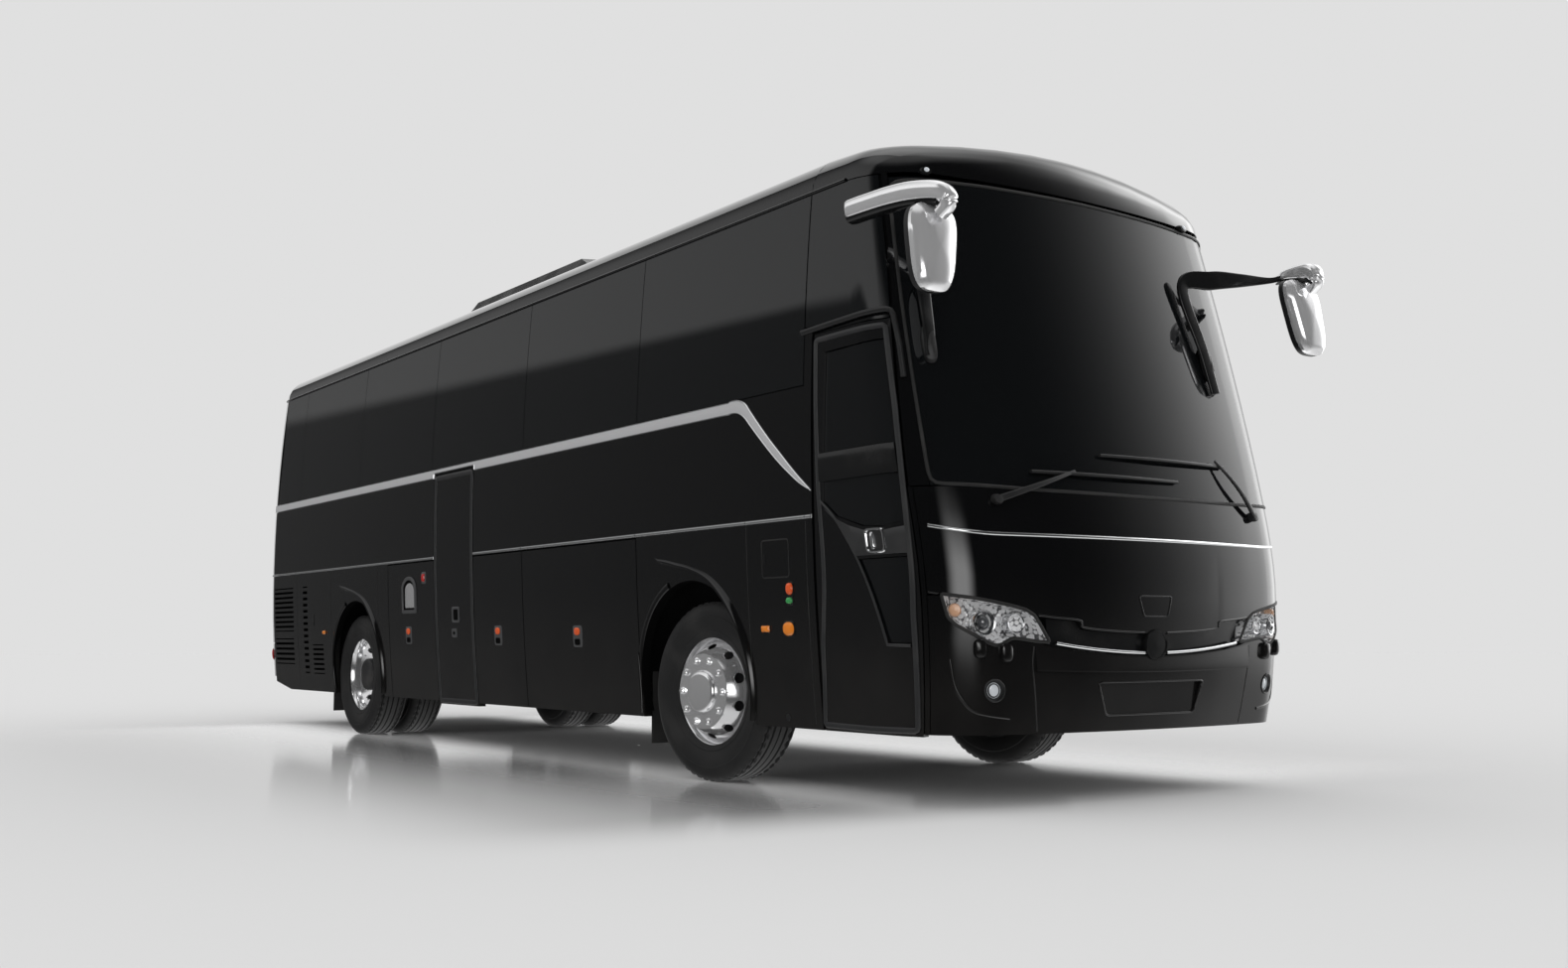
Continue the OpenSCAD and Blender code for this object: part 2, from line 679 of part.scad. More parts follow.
module flap(i) {
    f = flaps[i];
    color("#0c0d0f") placed() difference() {
        wall_panel(f[0], f[1], f[2], skirt_z, belt_z - gap, 0, wall_t);
        arch_cut(f[0], gap);
    }
}

module right_flap_1() { flap(0); }
module right_flap_2() { flap(1); }
module right_flap_3() { flap(2); }
module left_flap_1() { flap(3); }
module left_flap_2() { flap(4); }
module left_flap_3() { flap(5); }

// Thickness of floors and bulkheads
plate_t = 40;
// Underframe: front and rear rails, bulkheads at the ends of the luggage bay and the bay floor
rail_y = 400;
rail_w = 80;
rail_z = [620, 800];
// Ends of the front and rear rails
rails = [[-720, 1950], [-7550, -4480]];
// Luggage bay: rear and front bulkhead, half width, underside and floor
bay_x = [-4520, -720];
bay_y = 1100;
bay_z = [340, 380];
// Cross-members between the rails
members = [-7500, -6300, -4700, -650, 550, 1880];
member_w = 60;
member_z = [640, 780];
// Jacking pads: places, half width, foot
jack_x = [-820, -4380];
jack_y = 900;
jack_half = 70;
jack_z = 328;
module chassis() {
    reach = rail_y + rail_w / 2;
    color("#1b1c1e") placed() {
        for (side = [-1, 1], r = rails)
            block(r[0], r[1], side * rail_y - rail_w / 2, side * rail_y + rail_w / 2, rail_z[0], rail_z[1]);
        for (x = bay_x) block(x, x + plate_t, -bay_y, bay_y, bay_z[1], floor_z - plate_t);
        block(bay_x[0], bay_x[1] + plate_t, 10 - bay_y, bay_y - 10, bay_z[0], bay_z[1]);
        for (x = jack_x, y = [-jack_y, jack_y])
            block(x - jack_half, x + jack_half, y - jack_half, y + jack_half, jack_z, bay_z[0]);
        for (x = members) block(x, x + member_w, -reach, reach, member_z[0], member_z[1]);
    }
}

// Floor: front edge of the saloon, half width, front edge and half width of the cab, front edge of the step,
// half width at the step, depth of the middle stairwell
saloon_x = 600;
saloon_y = 1150;
cab_x = 1760;
cab_y = 1100;
step_x = 1740;
step_y = 1080;
stair_y = 400;
module floor() {
    well_x = seam_x + 5;
    cab_low = cab_z - plate_t;
    color("#2a2b2d") placed() difference() {
        union() {
            block(wall_x0 + 10, saloon_x, -saloon_y, saloon_y, floor_z - plate_t, floor_z);
            block(saloon_x, well_x, -saloon_y, saloon_y, cab_low, cab_z);
            block(well_x, cab_x, well_y, cab_y, cab_low, cab_z);
            block(saloon_x - plate_t, saloon_x, -saloon_y, saloon_y, cab_low, floor_z - plate_t);
            block(well_x + plate_t, step_x, -step_y, well_y, step_z - plate_t, step_z);
            block(well_x, well_x + plate_t, -step_y, well_y, step_z - plate_t, cab_low);
            block(well_x + plate_t, cab_x, well_y - plate_t, well_y, step_z, cab_low);
        }
        block(mid_door[0], mid_door[1], -saloon_y - 50, -stair_y, floor_z - 2 * plate_t, floor_z + plate_t);
    }
}

// Engine: ends, half width, heights
engine_x = [-7350, -6320];
engine_y = 330;
engine_z = [480, 1180];
module engine() {
    color("#3a3c3f") placed() block(engine_x[0], engine_x[1], -engine_y, engine_y, engine_z[0], engine_z[1]);
}

// Roof unit: ends, half section as half width and height, rear and front slope
unit_x = [-4250, -2050];
unit_section = [[820, 3180], [700, 3400], [500, 3440]];
unit_slopes = [180, 420];
module air_unit() {
    foot = unit_section[0][1] - 10;
    top = unit_section[2][1] + 5;
    flip = [for (i = [len(unit_section) - 1 : -1 : 0]) [-unit_section[i][0], unit_section[i][1]]];
    color("#111214") placed() difference() {
        intersection() {
            along_x(unit_x[0], unit_x[1]) polygon(concat(unit_section, flip));
            along_y(-half_w, half_w)
                polygon([[unit_x[0], foot], [unit_x[0] + unit_slopes[0], top],
                         [unit_x[1] - unit_slopes[1], top], [unit_x[1], foot + 90], [unit_x[1], foot]]);
        }
        along_x(unit_x[0] - 10, unit_x[1] + 10)
            polygon(concat([[edge_y, 2800]], roof_outline(0), [[-edge_y, 2800]]));
    }
}

// Facets round a small ball
ball_fn = 10;
module capsule(a, b, r0, r1) {
    hull() {
        translate(a) sphere(r0, $fn = ball_fn);
        translate(b) sphere(r1, $fn = ball_fn);
    }
}

// Mirror: bend and end of its arm, balls of the long cap as place and radius, corners of the hanging head
arm_bend = [1760, 1300, 2700];
arm_end = [2080, 1310, 2690];
arm_r = 26;
cap_balls = [[[2110, 1300, 2690], 44], [[1900, 1350, 2715], 62], [[1580, 1420, 2700], 48]];
head_corners = [[2030, 1325, 2330], [2110, 1325, 2330], [2030, 1290, 2580], [2110, 1290, 2580]];
head_r = 70;
// Pads on the screen: outline share and height of both ends, right and left
pads = [[[0.716, 2040], [0.72, 2400]], [[0.472, 2020], [0.419, 2350]]];
module mirror_unit(side, pad) {
    place = function(p) [p[0], side * p[1], p[2]];
    low = end_point(1, side * pad[0][0], pad[0][1], 2 - arm_r);
    high = end_point(1, side * pad[1][0], pad[1][1], -4 - arm_r);
    capsule(low, high, arm_r - 4, arm_r);
    capsule(high, place(arm_bend), arm_r, arm_r);
    capsule(place(arm_bend), place(arm_end), arm_r, arm_r - 2);
    hull() for (b = cap_balls) translate(place(b[0])) sphere(b[1], $fn = ball_fn + 2);
    hull() for (c = head_corners) translate(place(c)) sphere(head_r, $fn = ball_fn + 2);
}

module mirror_right() {
    color("#c9cdd1") placed() mirror_unit(right, pads[0]);
}

module mirror_left() {
    color("#c9cdd1") placed() mirror_unit(left, pads[1]);
}

// Wipers: outline share of a pivot, then share inwards, height and depth of pivot, elbow and both blade ends
wiper_u = 0.57;
wiper_spots = [[0, 1385, -20], [0.3, 1500, -35], [0.1, 1490, -30], [0.62, 1530, -30]];
module wipers() {
    color("#0a0a0b") placed() for (side = [right, left]) {
        p = [for (w = wiper_spots) end_point(1, side * (wiper_u - w[0]), w[1], w[2])];
        capsule(p[0], p[1], 16, 10);
        capsule(p[2], p[3], 9, 9);
    }
}

// Dashboard seen from the side, its ends, and the steering wheel
dash = [[1560, 870], [1800, 870], [1820, 1340], [1700, 1400], [1560, 1330]];
dash_y = [-700, 1050];
driver_y = 620;
steering_r = 225;
steering_grip_r = 16;
column_l = 300;
module dashboard() {
    color("#1d1e20") placed() {
        along_y(dash_y[0], dash_y[1]) polygon(dash);
        translate([1400, driver_y, 1530]) rotate([0, -35, 0]) {
            rotate_extrude($fn = 64) translate([steering_r, 0]) circle(steering_grip_r, $fn = 24);
            for (a = [0 : 120 : 240]) rotate([0, 90, a]) cylinder(r = 12, h = steering_r - 3, $fn = 24);
            translate([0, 0, -column_l]) cylinder(r = 35, h = column_l + 10, $fn = 32);
        }
    }
}

// Seats: rows and their pitch, first row, places across, width, side view, the driver's place and width
seat_rows = 8;
seat_pitch = 800;
seat_x = -300;
seat_y = [-910, -450, 450, 910];
seat_w = 430;
seat_side = [[0, 0], [60, 0], [60, 330], [430, 350], [450, 430], [430, 460], [120, 440], [-30, 1090],
             [-80, 1130], [-150, 1110], [-20, 380]];
driver_x = 860;
driver_w = 480;
module seat(x, y, z, w) {
    translate([x, y - w / 2, z]) along_y(0, w) polygon(seat_side);
}

module seats() {
    color("#26272a") placed() {
        for (r = [0 : seat_rows - 1], y = seat_y)
            if (y > 0 || r < 3 || r > 4) seat(seat_x - r * seat_pitch, y, floor_z, seat_w);
        seat(driver_x, driver_y, cab_z, driver_w);
    }
}

// Running gear
kingpin_r = 22;
// Front axle: half width of its dropped beam, heights of the beam, height of the eyes
beam_y = 620;
beam_z = [360, 440];
eye_h = 90;
module front_axle() {
    color("#2b2c2e") placed() difference() {
        union() {
            block(-50, 50, -beam_y, beam_y, beam_z[0], beam_z[1]);
            for (side = [-1, 1]) {
                hull() {
                    translate([-45, side > 0 ? beam_y - 60 : -beam_y, beam_z[0]]) cube([90, 60, 80]);
                    translate([-45, side > 0 ? 800 : -860, axle_z - eye_h / 2]) cube([90, 60, eye_h]);
                }
                translate([0, side * kingpin_y, axle_z - eye_h / 2]) cylinder(r = 50, h = eye_h, $fn = 48);
            }
        }
        for (side = [-1, 1]) translate([0, side * kingpin_y, axle_z - 60])
            cylinder(r = kingpin_r + 0.05, h = 120, $fn = 48);
    }
    color("#141414") placed() for (side = [-1, 1]) bellows(0, side * rail_y, beam_z[1]);
}

// Air spring between axle and rail
bellows_r = 95;
module bellows(x, y, z) {
    translate([x, y, z]) cylinder(r = bellows_r, h = rail_z[0] - z, $fn = 64);
}

module steered(side) {
    translate([0, side * kingpin_y, 0]) rotate([0, 0, steer_deg]) translate([0, -side * kingpin_y, 0])
        children();
}

module knuckle(side) {
    color("#2f3033") placed() steered(side) translate([0, side * kingpin_y, axle_z]) {
        cylinder(r = kingpin_r, h = 210, center = true, $fn = 48);
        for (z = [-1, 1]) translate([0, 0, z * 78]) cylinder(r = 48, h = 54, center = true, $fn = 48);
        difference() {
            translate([-60, side > 0 ? 0 : -90, -105]) cube([120, 90, 210]);
            cylinder(r = 62, h = 102, center = true, $fn = 48);
            translate([-80, side > 0 ? -10 : -60, -51]) cube([160, 70, 102]);
        }
        rotate([side > 0 ? -90 : 90, 0, 0]) translate([0, 0, 62]) cylinder(r = 40, h = 120, $fn = 48);
    }
}

module knuckle_left() { knuckle(left); }
module knuckle_right() { knuckle(right); }

module rear_axle() {
    color("#2b2c2e") placed() translate([-wheelbase, 0, axle_z]) {
        rotate([90, 0, 0]) cylinder(r = 75, h = 1060, center = true, $fn = 64);
        sphere(190, $fn = 64);
        rotate([90, 0, 0]) cylinder(r = 45, h = 2000, center = true, $fn = 64);
    }
    color("#141414") placed() for (side = [-1, 1]) bellows(-wheelbase, side * rail_y, axle_z);
}

// Wheel drawn with its axis along Y, outer face towards +Y
module axled() {
    rotate([-90, 0, 0]) children();
}

module tyre() {
    bead = rim_d / 2;
    tread = tyre_d / 2;
    half = tyre_w / 2;
    side = [[bead, half - 29], [bead + 30, half - 16], [bead + 90, half], [tread - 60, half - 2],
            [tread - 22, half - 12], [tread - 4, half - 30], [tread, half - 74]];
    mirrored = [for (i = [len(side) - 1 : -1 : 0]) [side[i][0], -side[i][1]]];
    axled() rotate_extrude($fn = 96) polygon(concat(side, mirrored));
}

// Wheel rims: discs as radius, offset outwards from the middle plane
hub_r = 60.5;
hole_r = 28;
hole_ring = 238;
barrel_half = 104;
barrel_t = 13;
front_disc = [[hub_r, -40], [100, -40], [100, 150], [192, 150], [262, 42], [273, 50], [200, 167],
              [112, 169], [110, 182], [98, 194], [60, 202], [0, 204], [0, 186], [hub_r, 180]];
outer_disc = [[hub_r, -100], [125, -100], [125, -70], [200, -70], [262, 5], [273, 20], [200, -54],
              [133, -52], [131, 60], [120, 72], [0, 72], [0, 50], [hub_r, 50]];
inner_disc = [[hub_r, 20], [110, 20], [110, 60], [273, 60], [273, 74], [120, 74], [hub_r, 80]];
module rim(disc) {
    axled() difference() {
        rotate_extrude($fn = 96) union() {
            translate([rim_d / 2 - 1 - barrel_t, -barrel_half]) square([barrel_t, 2 * barrel_half]);
            polygon(disc);
        }
        for (k = [0 : 9]) rotate([0, 0, k * 36]) translate([hole_ring, 0, -barrel_half])
            cylinder(r = hole_r, h = 3 * barrel_half, $fn = 32);
    }
}

module front_wheel(side) {
    placed() steered(side) translate([0, side * front_y, axle_z]) rotate([0, 0, side > 0 ? 0 : 180])
        children();
}

module front_rim_left() { color("#d5d8db") front_wheel(left) rim(front_disc); }
module front_rim_right() { color("#d5d8db") front_wheel(right) rim(front_disc); }
module front_tyre_left() { color("#161616") front_wheel(left) tyre(); }
module front_tyre_right() { color("#161616") front_wheel(right) tyre(); }

module rear_wheel(side, offset) {
    placed() translate([-wheelbase, side * (rear_y - offset), axle_z]) rotate([0, 0, side > 0 ? 0 : 180])
        children();
}

module rear_rims(side) {
    color("#d5d8db") rear_wheel(side, 0) rim(outer_disc);
    color("#d5d8db") rear_wheel(side, twin_y) rim(inner_disc);
}

module rear_tyres(side) {
    color("#161616") rear_wheel(side, 0) tyre();
    color("#161616") rear_wheel(side, twin_y) tyre();
}

module rear_rims_left() { rear_rims(left); }
module rear_rims_right() { rear_rims(right); }
module rear_tyres_left() { rear_tyres(left); }
module rear_tyres_right() { rear_tyres(right); }

// Mud flaps: rear face, inner edge, foot, top
mud = [[-6010, 560, 160, 640], [-660, 840, 165, 620]];
mud_y = 1110;
mud_t = 10;
module mudflaps() {
    color("#141414") placed() for (side = [-1, 1], m = mud)
        block(m[0], m[0] + mud_t, side > 0 ? m[1] : -mud_y, side > 0 ? mud_y : -m[1], m[2], m[3]);
}

// Towing eyes under the front and rear cross-members: X and height, bore, outer radius, thickness
eyes = [[1910, 460], [-7470, 500]];
eye_r = 25;
eye_out_r = 60;
eye_t = 30;
module tow_eyes() {
    color("#1b1c1e") placed() for (e = eyes) difference() {
        union() {
            block(e[0] - 28, e[0] + 28, -eye_t / 2, eye_t / 2, e[1], member_z[0]);
            translate([e[0], 0, e[1]]) rotate([90, 0, 0])
                cylinder(r = eye_out_r, h = eye_t, center = true, $fn = 64);
        }
        translate([e[0], 0, e[1]]) rotate([90, 0, 0])
            cylinder(r = eye_r, h = 2 * eye_t, center = true, $fn = 64);
    }
}

chassis();
floor();
right_wall();
left_wall();
cab_side();
door_header();
roof();
roof_front();
roof_rear();
front_panel();
front_grille();
bumper();
screen_pillars();
rear_panel();
rear_bumper();
windscreen();
right_glass();
left_glass();
rear_glass();
front_door();
front_door_glass();
middle_door();
right_flap_1();
right_flap_2();
right_flap_3();
left_flap_1();
left_flap_2();
left_flap_3();
engine_lid();
side_grilles();
headlamps();
fog_lamps();
tail_lamps();
mirror_right();
mirror_left();
wipers();
air_unit();
dashboard();
seats();
engine();
front_axle();
rear_axle();
knuckle_left();
knuckle_right();
front_rim_left();
front_rim_right();
front_tyre_left();
front_tyre_right();
rear_rims_left();
rear_rims_right();
rear_tyres_left();
rear_tyres_right();
mudflaps();
tow_eyes();
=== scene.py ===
"""Dress of a two-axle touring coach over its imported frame: finishes, glass, trim, lamps, wheels, mirrors and seats."""

from __future__ import annotations

import json
import logging
from dataclasses import dataclass
from enum import Enum
from typing import Any, Callable, Sequence

import bmesh
import bpy
import numpy as np
from mathutils import Matrix
from numpy.typing import NDArray

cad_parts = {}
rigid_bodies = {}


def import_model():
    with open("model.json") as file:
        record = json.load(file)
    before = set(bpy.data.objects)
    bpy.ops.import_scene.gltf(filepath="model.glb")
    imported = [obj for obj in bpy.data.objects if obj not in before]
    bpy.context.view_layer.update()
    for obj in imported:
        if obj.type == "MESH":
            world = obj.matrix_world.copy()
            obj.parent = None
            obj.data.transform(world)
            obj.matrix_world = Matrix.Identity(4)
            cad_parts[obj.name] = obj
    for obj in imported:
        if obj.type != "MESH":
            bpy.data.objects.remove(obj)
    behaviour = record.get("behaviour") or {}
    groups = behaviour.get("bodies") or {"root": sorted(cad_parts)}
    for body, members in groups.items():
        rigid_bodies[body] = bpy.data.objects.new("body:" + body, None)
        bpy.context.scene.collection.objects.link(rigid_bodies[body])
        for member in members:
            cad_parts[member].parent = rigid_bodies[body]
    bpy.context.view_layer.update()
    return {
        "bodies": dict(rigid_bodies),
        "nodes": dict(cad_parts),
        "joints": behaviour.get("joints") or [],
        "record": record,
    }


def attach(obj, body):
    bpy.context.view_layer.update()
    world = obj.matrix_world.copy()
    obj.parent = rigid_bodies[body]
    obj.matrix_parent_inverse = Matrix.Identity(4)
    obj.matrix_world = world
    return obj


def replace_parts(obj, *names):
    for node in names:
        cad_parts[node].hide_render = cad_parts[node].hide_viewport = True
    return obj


LOG = logging.getLogger("coach")
Array = NDArray[np.float64]
Skin = Callable[[Any, Any, Any], Array]
Colour = tuple[float, float, float]
Steps = Sequence[tuple[float, float]]


class Side(Enum):
    """Side of the coach, with the sign of its Y."""

    RIGHT = -1
    LEFT = 1


class Value:
    """Output of a shader node with arithmetic. Each operation adds one Math node."""

    def __init__(self, graph: "Graph", socket: bpy.types.NodeSocket | None) -> None:
        """Keep the graph and the socket."""
        self.graph = graph
        self.socket = socket

    def math(self, operation: str, other: "Value | float" = 0.0, swap: bool = False) -> "Value":
        """Add a Math node.

        Args:
            operation: Name of the Math node's operation.
            other: Second operand.
            swap: Put the second operand first.

        Returns:
            The result.
        """
        pair = (other, self) if swap else (self, other)
        return self.graph.node("ShaderNodeMath", {"operation": operation}, {0: pair[0], 1: pair[1]})

    def __add__(self, other: "Value | float") -> "Value":
        """Sum."""
        return self.math("ADD", other)

    def __radd__(self, other: float) -> "Value":
        """Sum with a number first."""
        return self.math("ADD", other, True)

    def __sub__(self, other: "Value | float") -> "Value":
        """Difference."""
        return self.math("SUBTRACT", other)

    def __rsub__(self, other: float) -> "Value":
        """Difference with a number first."""
        return self.math("SUBTRACT", other, True)

    def __mul__(self, other: "Value | float") -> "Value":
        """Product."""
        return self.math("MULTIPLY", other)

    def __rmul__(self, other: float) -> "Value":
        """Product with a number first."""
        return self.math("MULTIPLY", other, True)

    def smooth(self, low: float, high: float) -> "Value":
        """Smooth step from 0 at low to 1 at high."""
        ends = {"Value": self, "From Min": low, "From Max": high}
        return self.graph.node("ShaderNodeMapRange", {"interpolation_type": "SMOOTHSTEP"}, ends)

    def fall(self, low: float, high: float) -> "Value":
        """Smooth step from 1 at low to 0 at high."""
        ends = {"Value": self, "From Min": low, "From Max": high, "To Min": 1.0, "To Max": 0.0}
        return self.graph.node("ShaderNodeMapRange", {"interpolation_type": "SMOOTHSTEP"}, ends)


class Graph:
    """Node tree with one method that adds any node."""

    def __init__(self, tree: bpy.types.NodeTree) -> None:
        """Empty the tree and keep it."""
        self.tree = tree
        tree.nodes.clear()

    def node(self, kind: str, settings: dict | None = None, inputs: dict | None = None, output: int | str = 0) -> Value:
        """Add a node.

        Args:
            kind: Type of the node.
            settings: Its own settings, set first.
            inputs: Values or links of its sockets, by name or number.
            output: Name or number of the output that is wanted.

        Returns:
            That output.
        """
        made = self.tree.nodes.new(kind)
        for key, value in (settings or {}).items():
            setattr(made, key, value)
        for key, value in (inputs or {}).items():
            if isinstance(value, Value):
                self.tree.links.new(value.socket, made.inputs[key])
            else:
                made.inputs[key].default_value = value
        return Value(self, made.outputs[output] if made.outputs else None)

    def place(self) -> Value:
        """Object coordinates, in metres in the row frame."""
        return self.node("ShaderNodeTexCoord", output="Object")

    def split(self, vector: Value) -> tuple[Value, Value, Value]:
        """The three parts of a vector."""
        made = self.node("ShaderNodeSeparateXYZ", inputs={0: vector}).socket.node
        return Value(self, made.outputs[0]), Value(self, made.outputs[1]), Value(self, made.outputs[2])

    def noise(self, vector: Value, scale: float, detail: float = 2.0) -> Value:
        """Cloudy noise from 0 to 1."""
        return self.node("ShaderNodeTexNoise", inputs={"Vector": vector, "Scale": scale, "Detail": detail})

    def waves(self, vector: Value, scale: float, direction: str) -> Value:
        """Straight waves from 0 to 1 across X, Y, Z or DIAGONAL."""
        settings = {"wave_type": "BANDS", "bands_direction": direction}
        return self.node("ShaderNodeTexWave", settings, {"Vector": vector, "Scale": scale}, "Fac")

    def mix(self, factor: Value | float, first: Any, second: Any) -> Value:
        """Blend of two colours."""
        return self.node("ShaderNodeMix", {"data_type": "RGBA"}, {0: factor, 6: first, 7: second}, 2)

    def bump(self, height: Value, strength: float, depth: float) -> Value:
        """Normal bent by a height of a depth in metres."""
        return self.node("ShaderNodeBump", {}, {"Strength": strength, "Distance": depth, "Height": height}, "Normal")


def rgba(colour: Colour) -> tuple[float, float, float, float]:
    """Colour with full alpha."""
    return (*colour, 1.0)


@dataclass(frozen=True)
class Finish:
    """Surface finish: constant shader values, and what varies over the surface in detail()."""

    name: str
    slot: str
    colour: Colour
    roughness: float = 0.5
    metallic: float = 0.0
    specular: float = 0.5
    coat: float = 0.0
    alpha: float = 1.0

    def material(self) -> bpy.types.Material:
        """Make the material once.

        Returns:
            The material.
        """
        found = bpy.data.materials.get(self.name)
        if found is not None:
            return found
        made = bpy.data.materials.new(self.name)
        made.use_nodes = True
        graph = Graph(made.node_tree)
        values: dict[str, Any] = {
            "Base Color": rgba(self.colour), "Roughness": self.roughness, "Metallic": self.metallic,
            "Specular IOR Level": self.specular, "Coat Weight": self.coat, "Coat Roughness": 0.03, "Alpha": self.alpha,
        }
        values.update(self.detail(graph))
        shader = graph.node("ShaderNodeBsdfPrincipled", {}, values)
        graph.node("ShaderNodeOutputMaterial", {}, {"Surface": shader})
        return made

    def detail(self, graph: Graph) -> dict[str, Any]:
        """Sockets that vary over the surface."""
        return {}


@dataclass(frozen=True)
class GlossPaint(Finish):
    """Black coach paint: orange peel in the clear coat, road dust low on the skirt."""

    dust: Colour = (0.05, 0.046, 0.042)

    def detail(self, graph: Graph) -> dict[str, Any]:
        """Dust falls off from the skirt up to 1.1 m, broken up by noise.

        Args:
            graph: Node tree of the material.

        Returns:
            Values by socket.
        """
        place = graph.place()
        height = graph.split(place)[2]
        dust = height.fall(0.3, 1.1) * graph.noise(place, 2.6, 5.0)
        return {
            "Base Color": graph.mix(dust * 0.3, rgba(self.colour), rgba(self.dust)),
            "Roughness": dust * 0.22 + self.roughness,
            "Normal": graph.bump(graph.noise(place, 170.0), 0.03, 0.0004),
        }


@dataclass(frozen=True)
class RoofPaint(GlossPaint):
    """Coach paint whose clear coat has dulled on the crown of the roof and is sound on its shoulders."""

    crown: tuple[float, float] = (0.6, 0.85)
    brow: tuple[float, float] = (3.9, 4.2)

    def detail(self, graph: Graph) -> dict[str, Any]:
        """Paint as elsewhere, with a coat that grows from the crown out to the shoulders and to the front.

        Args:
            graph: Node tree of the material.

        Returns:
            Values by socket.
        """
        along, across, _ = graph.split(graph.place())
        coat = across.math("ABSOLUTE").smooth(*self.crown).math("MAXIMUM", along.smooth(*self.brow))
        return super().detail(graph) | {"Coat Weight": coat}


@dataclass(frozen=True)
class TintedGlass(Finish):
    """Dark glass with a faint film of dust and a slight waviness."""

    def detail(self, graph: Graph) -> dict[str, Any]:
        """Roughness and normal follow broad noise.

        Args:
            graph: Node tree of the material.

        Returns:
            Values by socket.
        """
        place = graph.place()
        film = graph.noise(place, 1.7, 4.0)
        return {"Roughness": film * 0.03 + self.roughness, "Normal": graph.bump(graph.noise(place, 2.2), 0.02, 0.004)}


@dataclass(frozen=True)
class Bright(Finish):
    """Chrome or bright metal with fine scuffs."""

    scuff: float = 0.1

    def detail(self, graph: Graph) -> dict[str, Any]:
        """Roughness follows noise at two scales.

        Args:
            graph: Node tree of the material.

        Returns:
            Values by socket.
        """
        place = graph.place()
        scuffs = graph.noise(place, 60.0, 6.0) * graph.noise(place, 4.0)
        return {"Roughness": scuffs * self.scuff + self.roughness}


@dataclass(frozen=True)
class Facets(Finish):
    """Lamp reflector pressed in small facets, each tilted its own way, in a near-white colour that paints in the
    brightness of its reflections, and darker towards each facet's border as painted shade.
    """

    size: float = 55.0

    def detail(self, graph: Graph) -> dict[str, Any]:
        """Cells of about 18 mm: the height within a cell falls off with the distance from its middle. The colour goes
        from the finish's own towards dark grey at a cell's border, a painted shade between the facets.

        Args:
            graph: Node tree of the material.

        Returns:
            Values by socket.
        """
        cells = graph.node("ShaderNodeTexVoronoi", {}, {"Vector": graph.place(), "Scale": self.size}, "Distance")
        # Painted shade: the near-white colour, itself a painted reflection, darkens to grey towards each cell's border.
        painted_glint_and_shade = graph.mix(cells.smooth(0.52, 0.7), rgba(self.colour), rgba((0.16, 0.16, 0.165)))
        return {"Base Color": painted_glint_and_shade, "Roughness": cells * 0.06 + self.roughness, "Normal": graph.bump(cells, 0.6, 0.006)}


@dataclass(frozen=True)
class Brushed(Finish):
    """Satin metal with brush lines along X."""

    def detail(self, graph: Graph) -> dict[str, Any]:
        """Noise stretched a hundred times along X drives roughness and bump.

        Args:
            graph: Node tree of the material.

        Returns:
            Values by socket.
        """
        place = graph.place()
        stretched = graph.node("ShaderNodeMapping", {}, {"Vector": place, "Scale": (4.0, 400.0, 400.0)})
        lines = graph.noise(stretched, 1.0, 3.0)
        return {"Roughness": lines * 0.16 + self.roughness, "Normal": graph.bump(lines, 0.06, 0.0006)}


@dataclass(frozen=True)
class Grained(Finish):
    """Moulded plastic, rubber or painted steel: fine grain, and dust in broad patches."""

    grain: float = 500.0
    depth: float = 0.0004
    dust: float = 0.2
    dust_colour: Colour = (0.09, 0.085, 0.08)

    def detail(self, graph: Graph) -> dict[str, Any]:
        """Grain bends the normal; dust lightens the colour and roughens it.

        Args:
            graph: Node tree of the material.

        Returns:
            Values by socket.
        """
        place = graph.place()
        dust = graph.noise(place, 5.0, 6.0).smooth(0.42, 0.75)
        return {
            "Base Color": graph.mix(dust * self.dust, rgba(self.colour), rgba(self.dust_colour)),
            "Roughness": dust * 0.15 + self.roughness,
            "Normal": graph.bump(graph.noise(place, self.grain, 3.0), 0.25, self.depth),
        }


@dataclass(frozen=True)
class Cloth(Finish):
    """Woven seat cloth with a fine check of warp and weft and lighter flecks."""

    fleck: Colour = (0.07, 0.08, 0.1)

    def detail(self, graph: Graph) -> dict[str, Any]:
        """Crossed waves at a 3 mm pitch make the weave, noise makes the flecks.

        Args:
            graph: Node tree of the material.

        Returns:
            Values by socket.
        """
        place = graph.place()
        weave = graph.waves(place, 340.0, "Y") * graph.waves(place, 340.0, "DIAGONAL")
        fleck = graph.noise(place, 240.0, 1.0).smooth(0.55, 0.7)
        return {
            "Base Color": graph.mix(fleck * 0.6, rgba(self.colour), rgba(self.fleck)),
            "Roughness": weave * 0.1 + self.roughness,
            "Normal": graph.bump(weave, 0.35, 0.0012),
        }


@dataclass(frozen=True)
class Lens(Finish):
    """Moulded lamp lens with fine upright ribs."""

    ribs: float = 55.0
    depth: float = 0.001

    def detail(self, graph: Graph) -> dict[str, Any]:
        """Waves across Y make the ribs."""
        ribs = graph.waves(graph.place(), self.ribs, "Y")
        return {"Roughness": ribs * 0.05 + self.roughness, "Normal": graph.bump(ribs, 0.4, self.depth)}


PAINT = GlossPaint("paint_gloss_black", "black_paint", (0.0028, 0.0029, 0.0032), 0.05, specular=0.5)
ROOF_PAINT = RoofPaint("paint_roof_black", "black_paint", (0.0028, 0.0029, 0.0032), 0.05, specular=0.05)
SCREEN = TintedGlass("glass_screen", "tinted_glass", (0.004, 0.0045, 0.005), 0.012, specular=0.5, alpha=0.93)
PANE = TintedGlass("glass_side", "tinted_glass", (0.004, 0.0045, 0.005), 0.012, specular=0.5, alpha=0.975)
CHROME = Bright("chrome_trim", "mirror_chrome", (0.86, 0.87, 0.88), 0.05, 1.0)
SHELL = Bright("mirror_shell", "mirror_chrome", (0.95, 0.95, 0.96), 0.09, 0.72, scuff=0.04)
ALLOY = Bright("wheel_alloy", "bright_rim", (0.95, 0.95, 0.96), 0.1, 0.82, scuff=0.04)
SATIN = Brushed("satin_stripe", "bright_rim", (0.5, 0.5, 0.51), 0.36, 0.2)
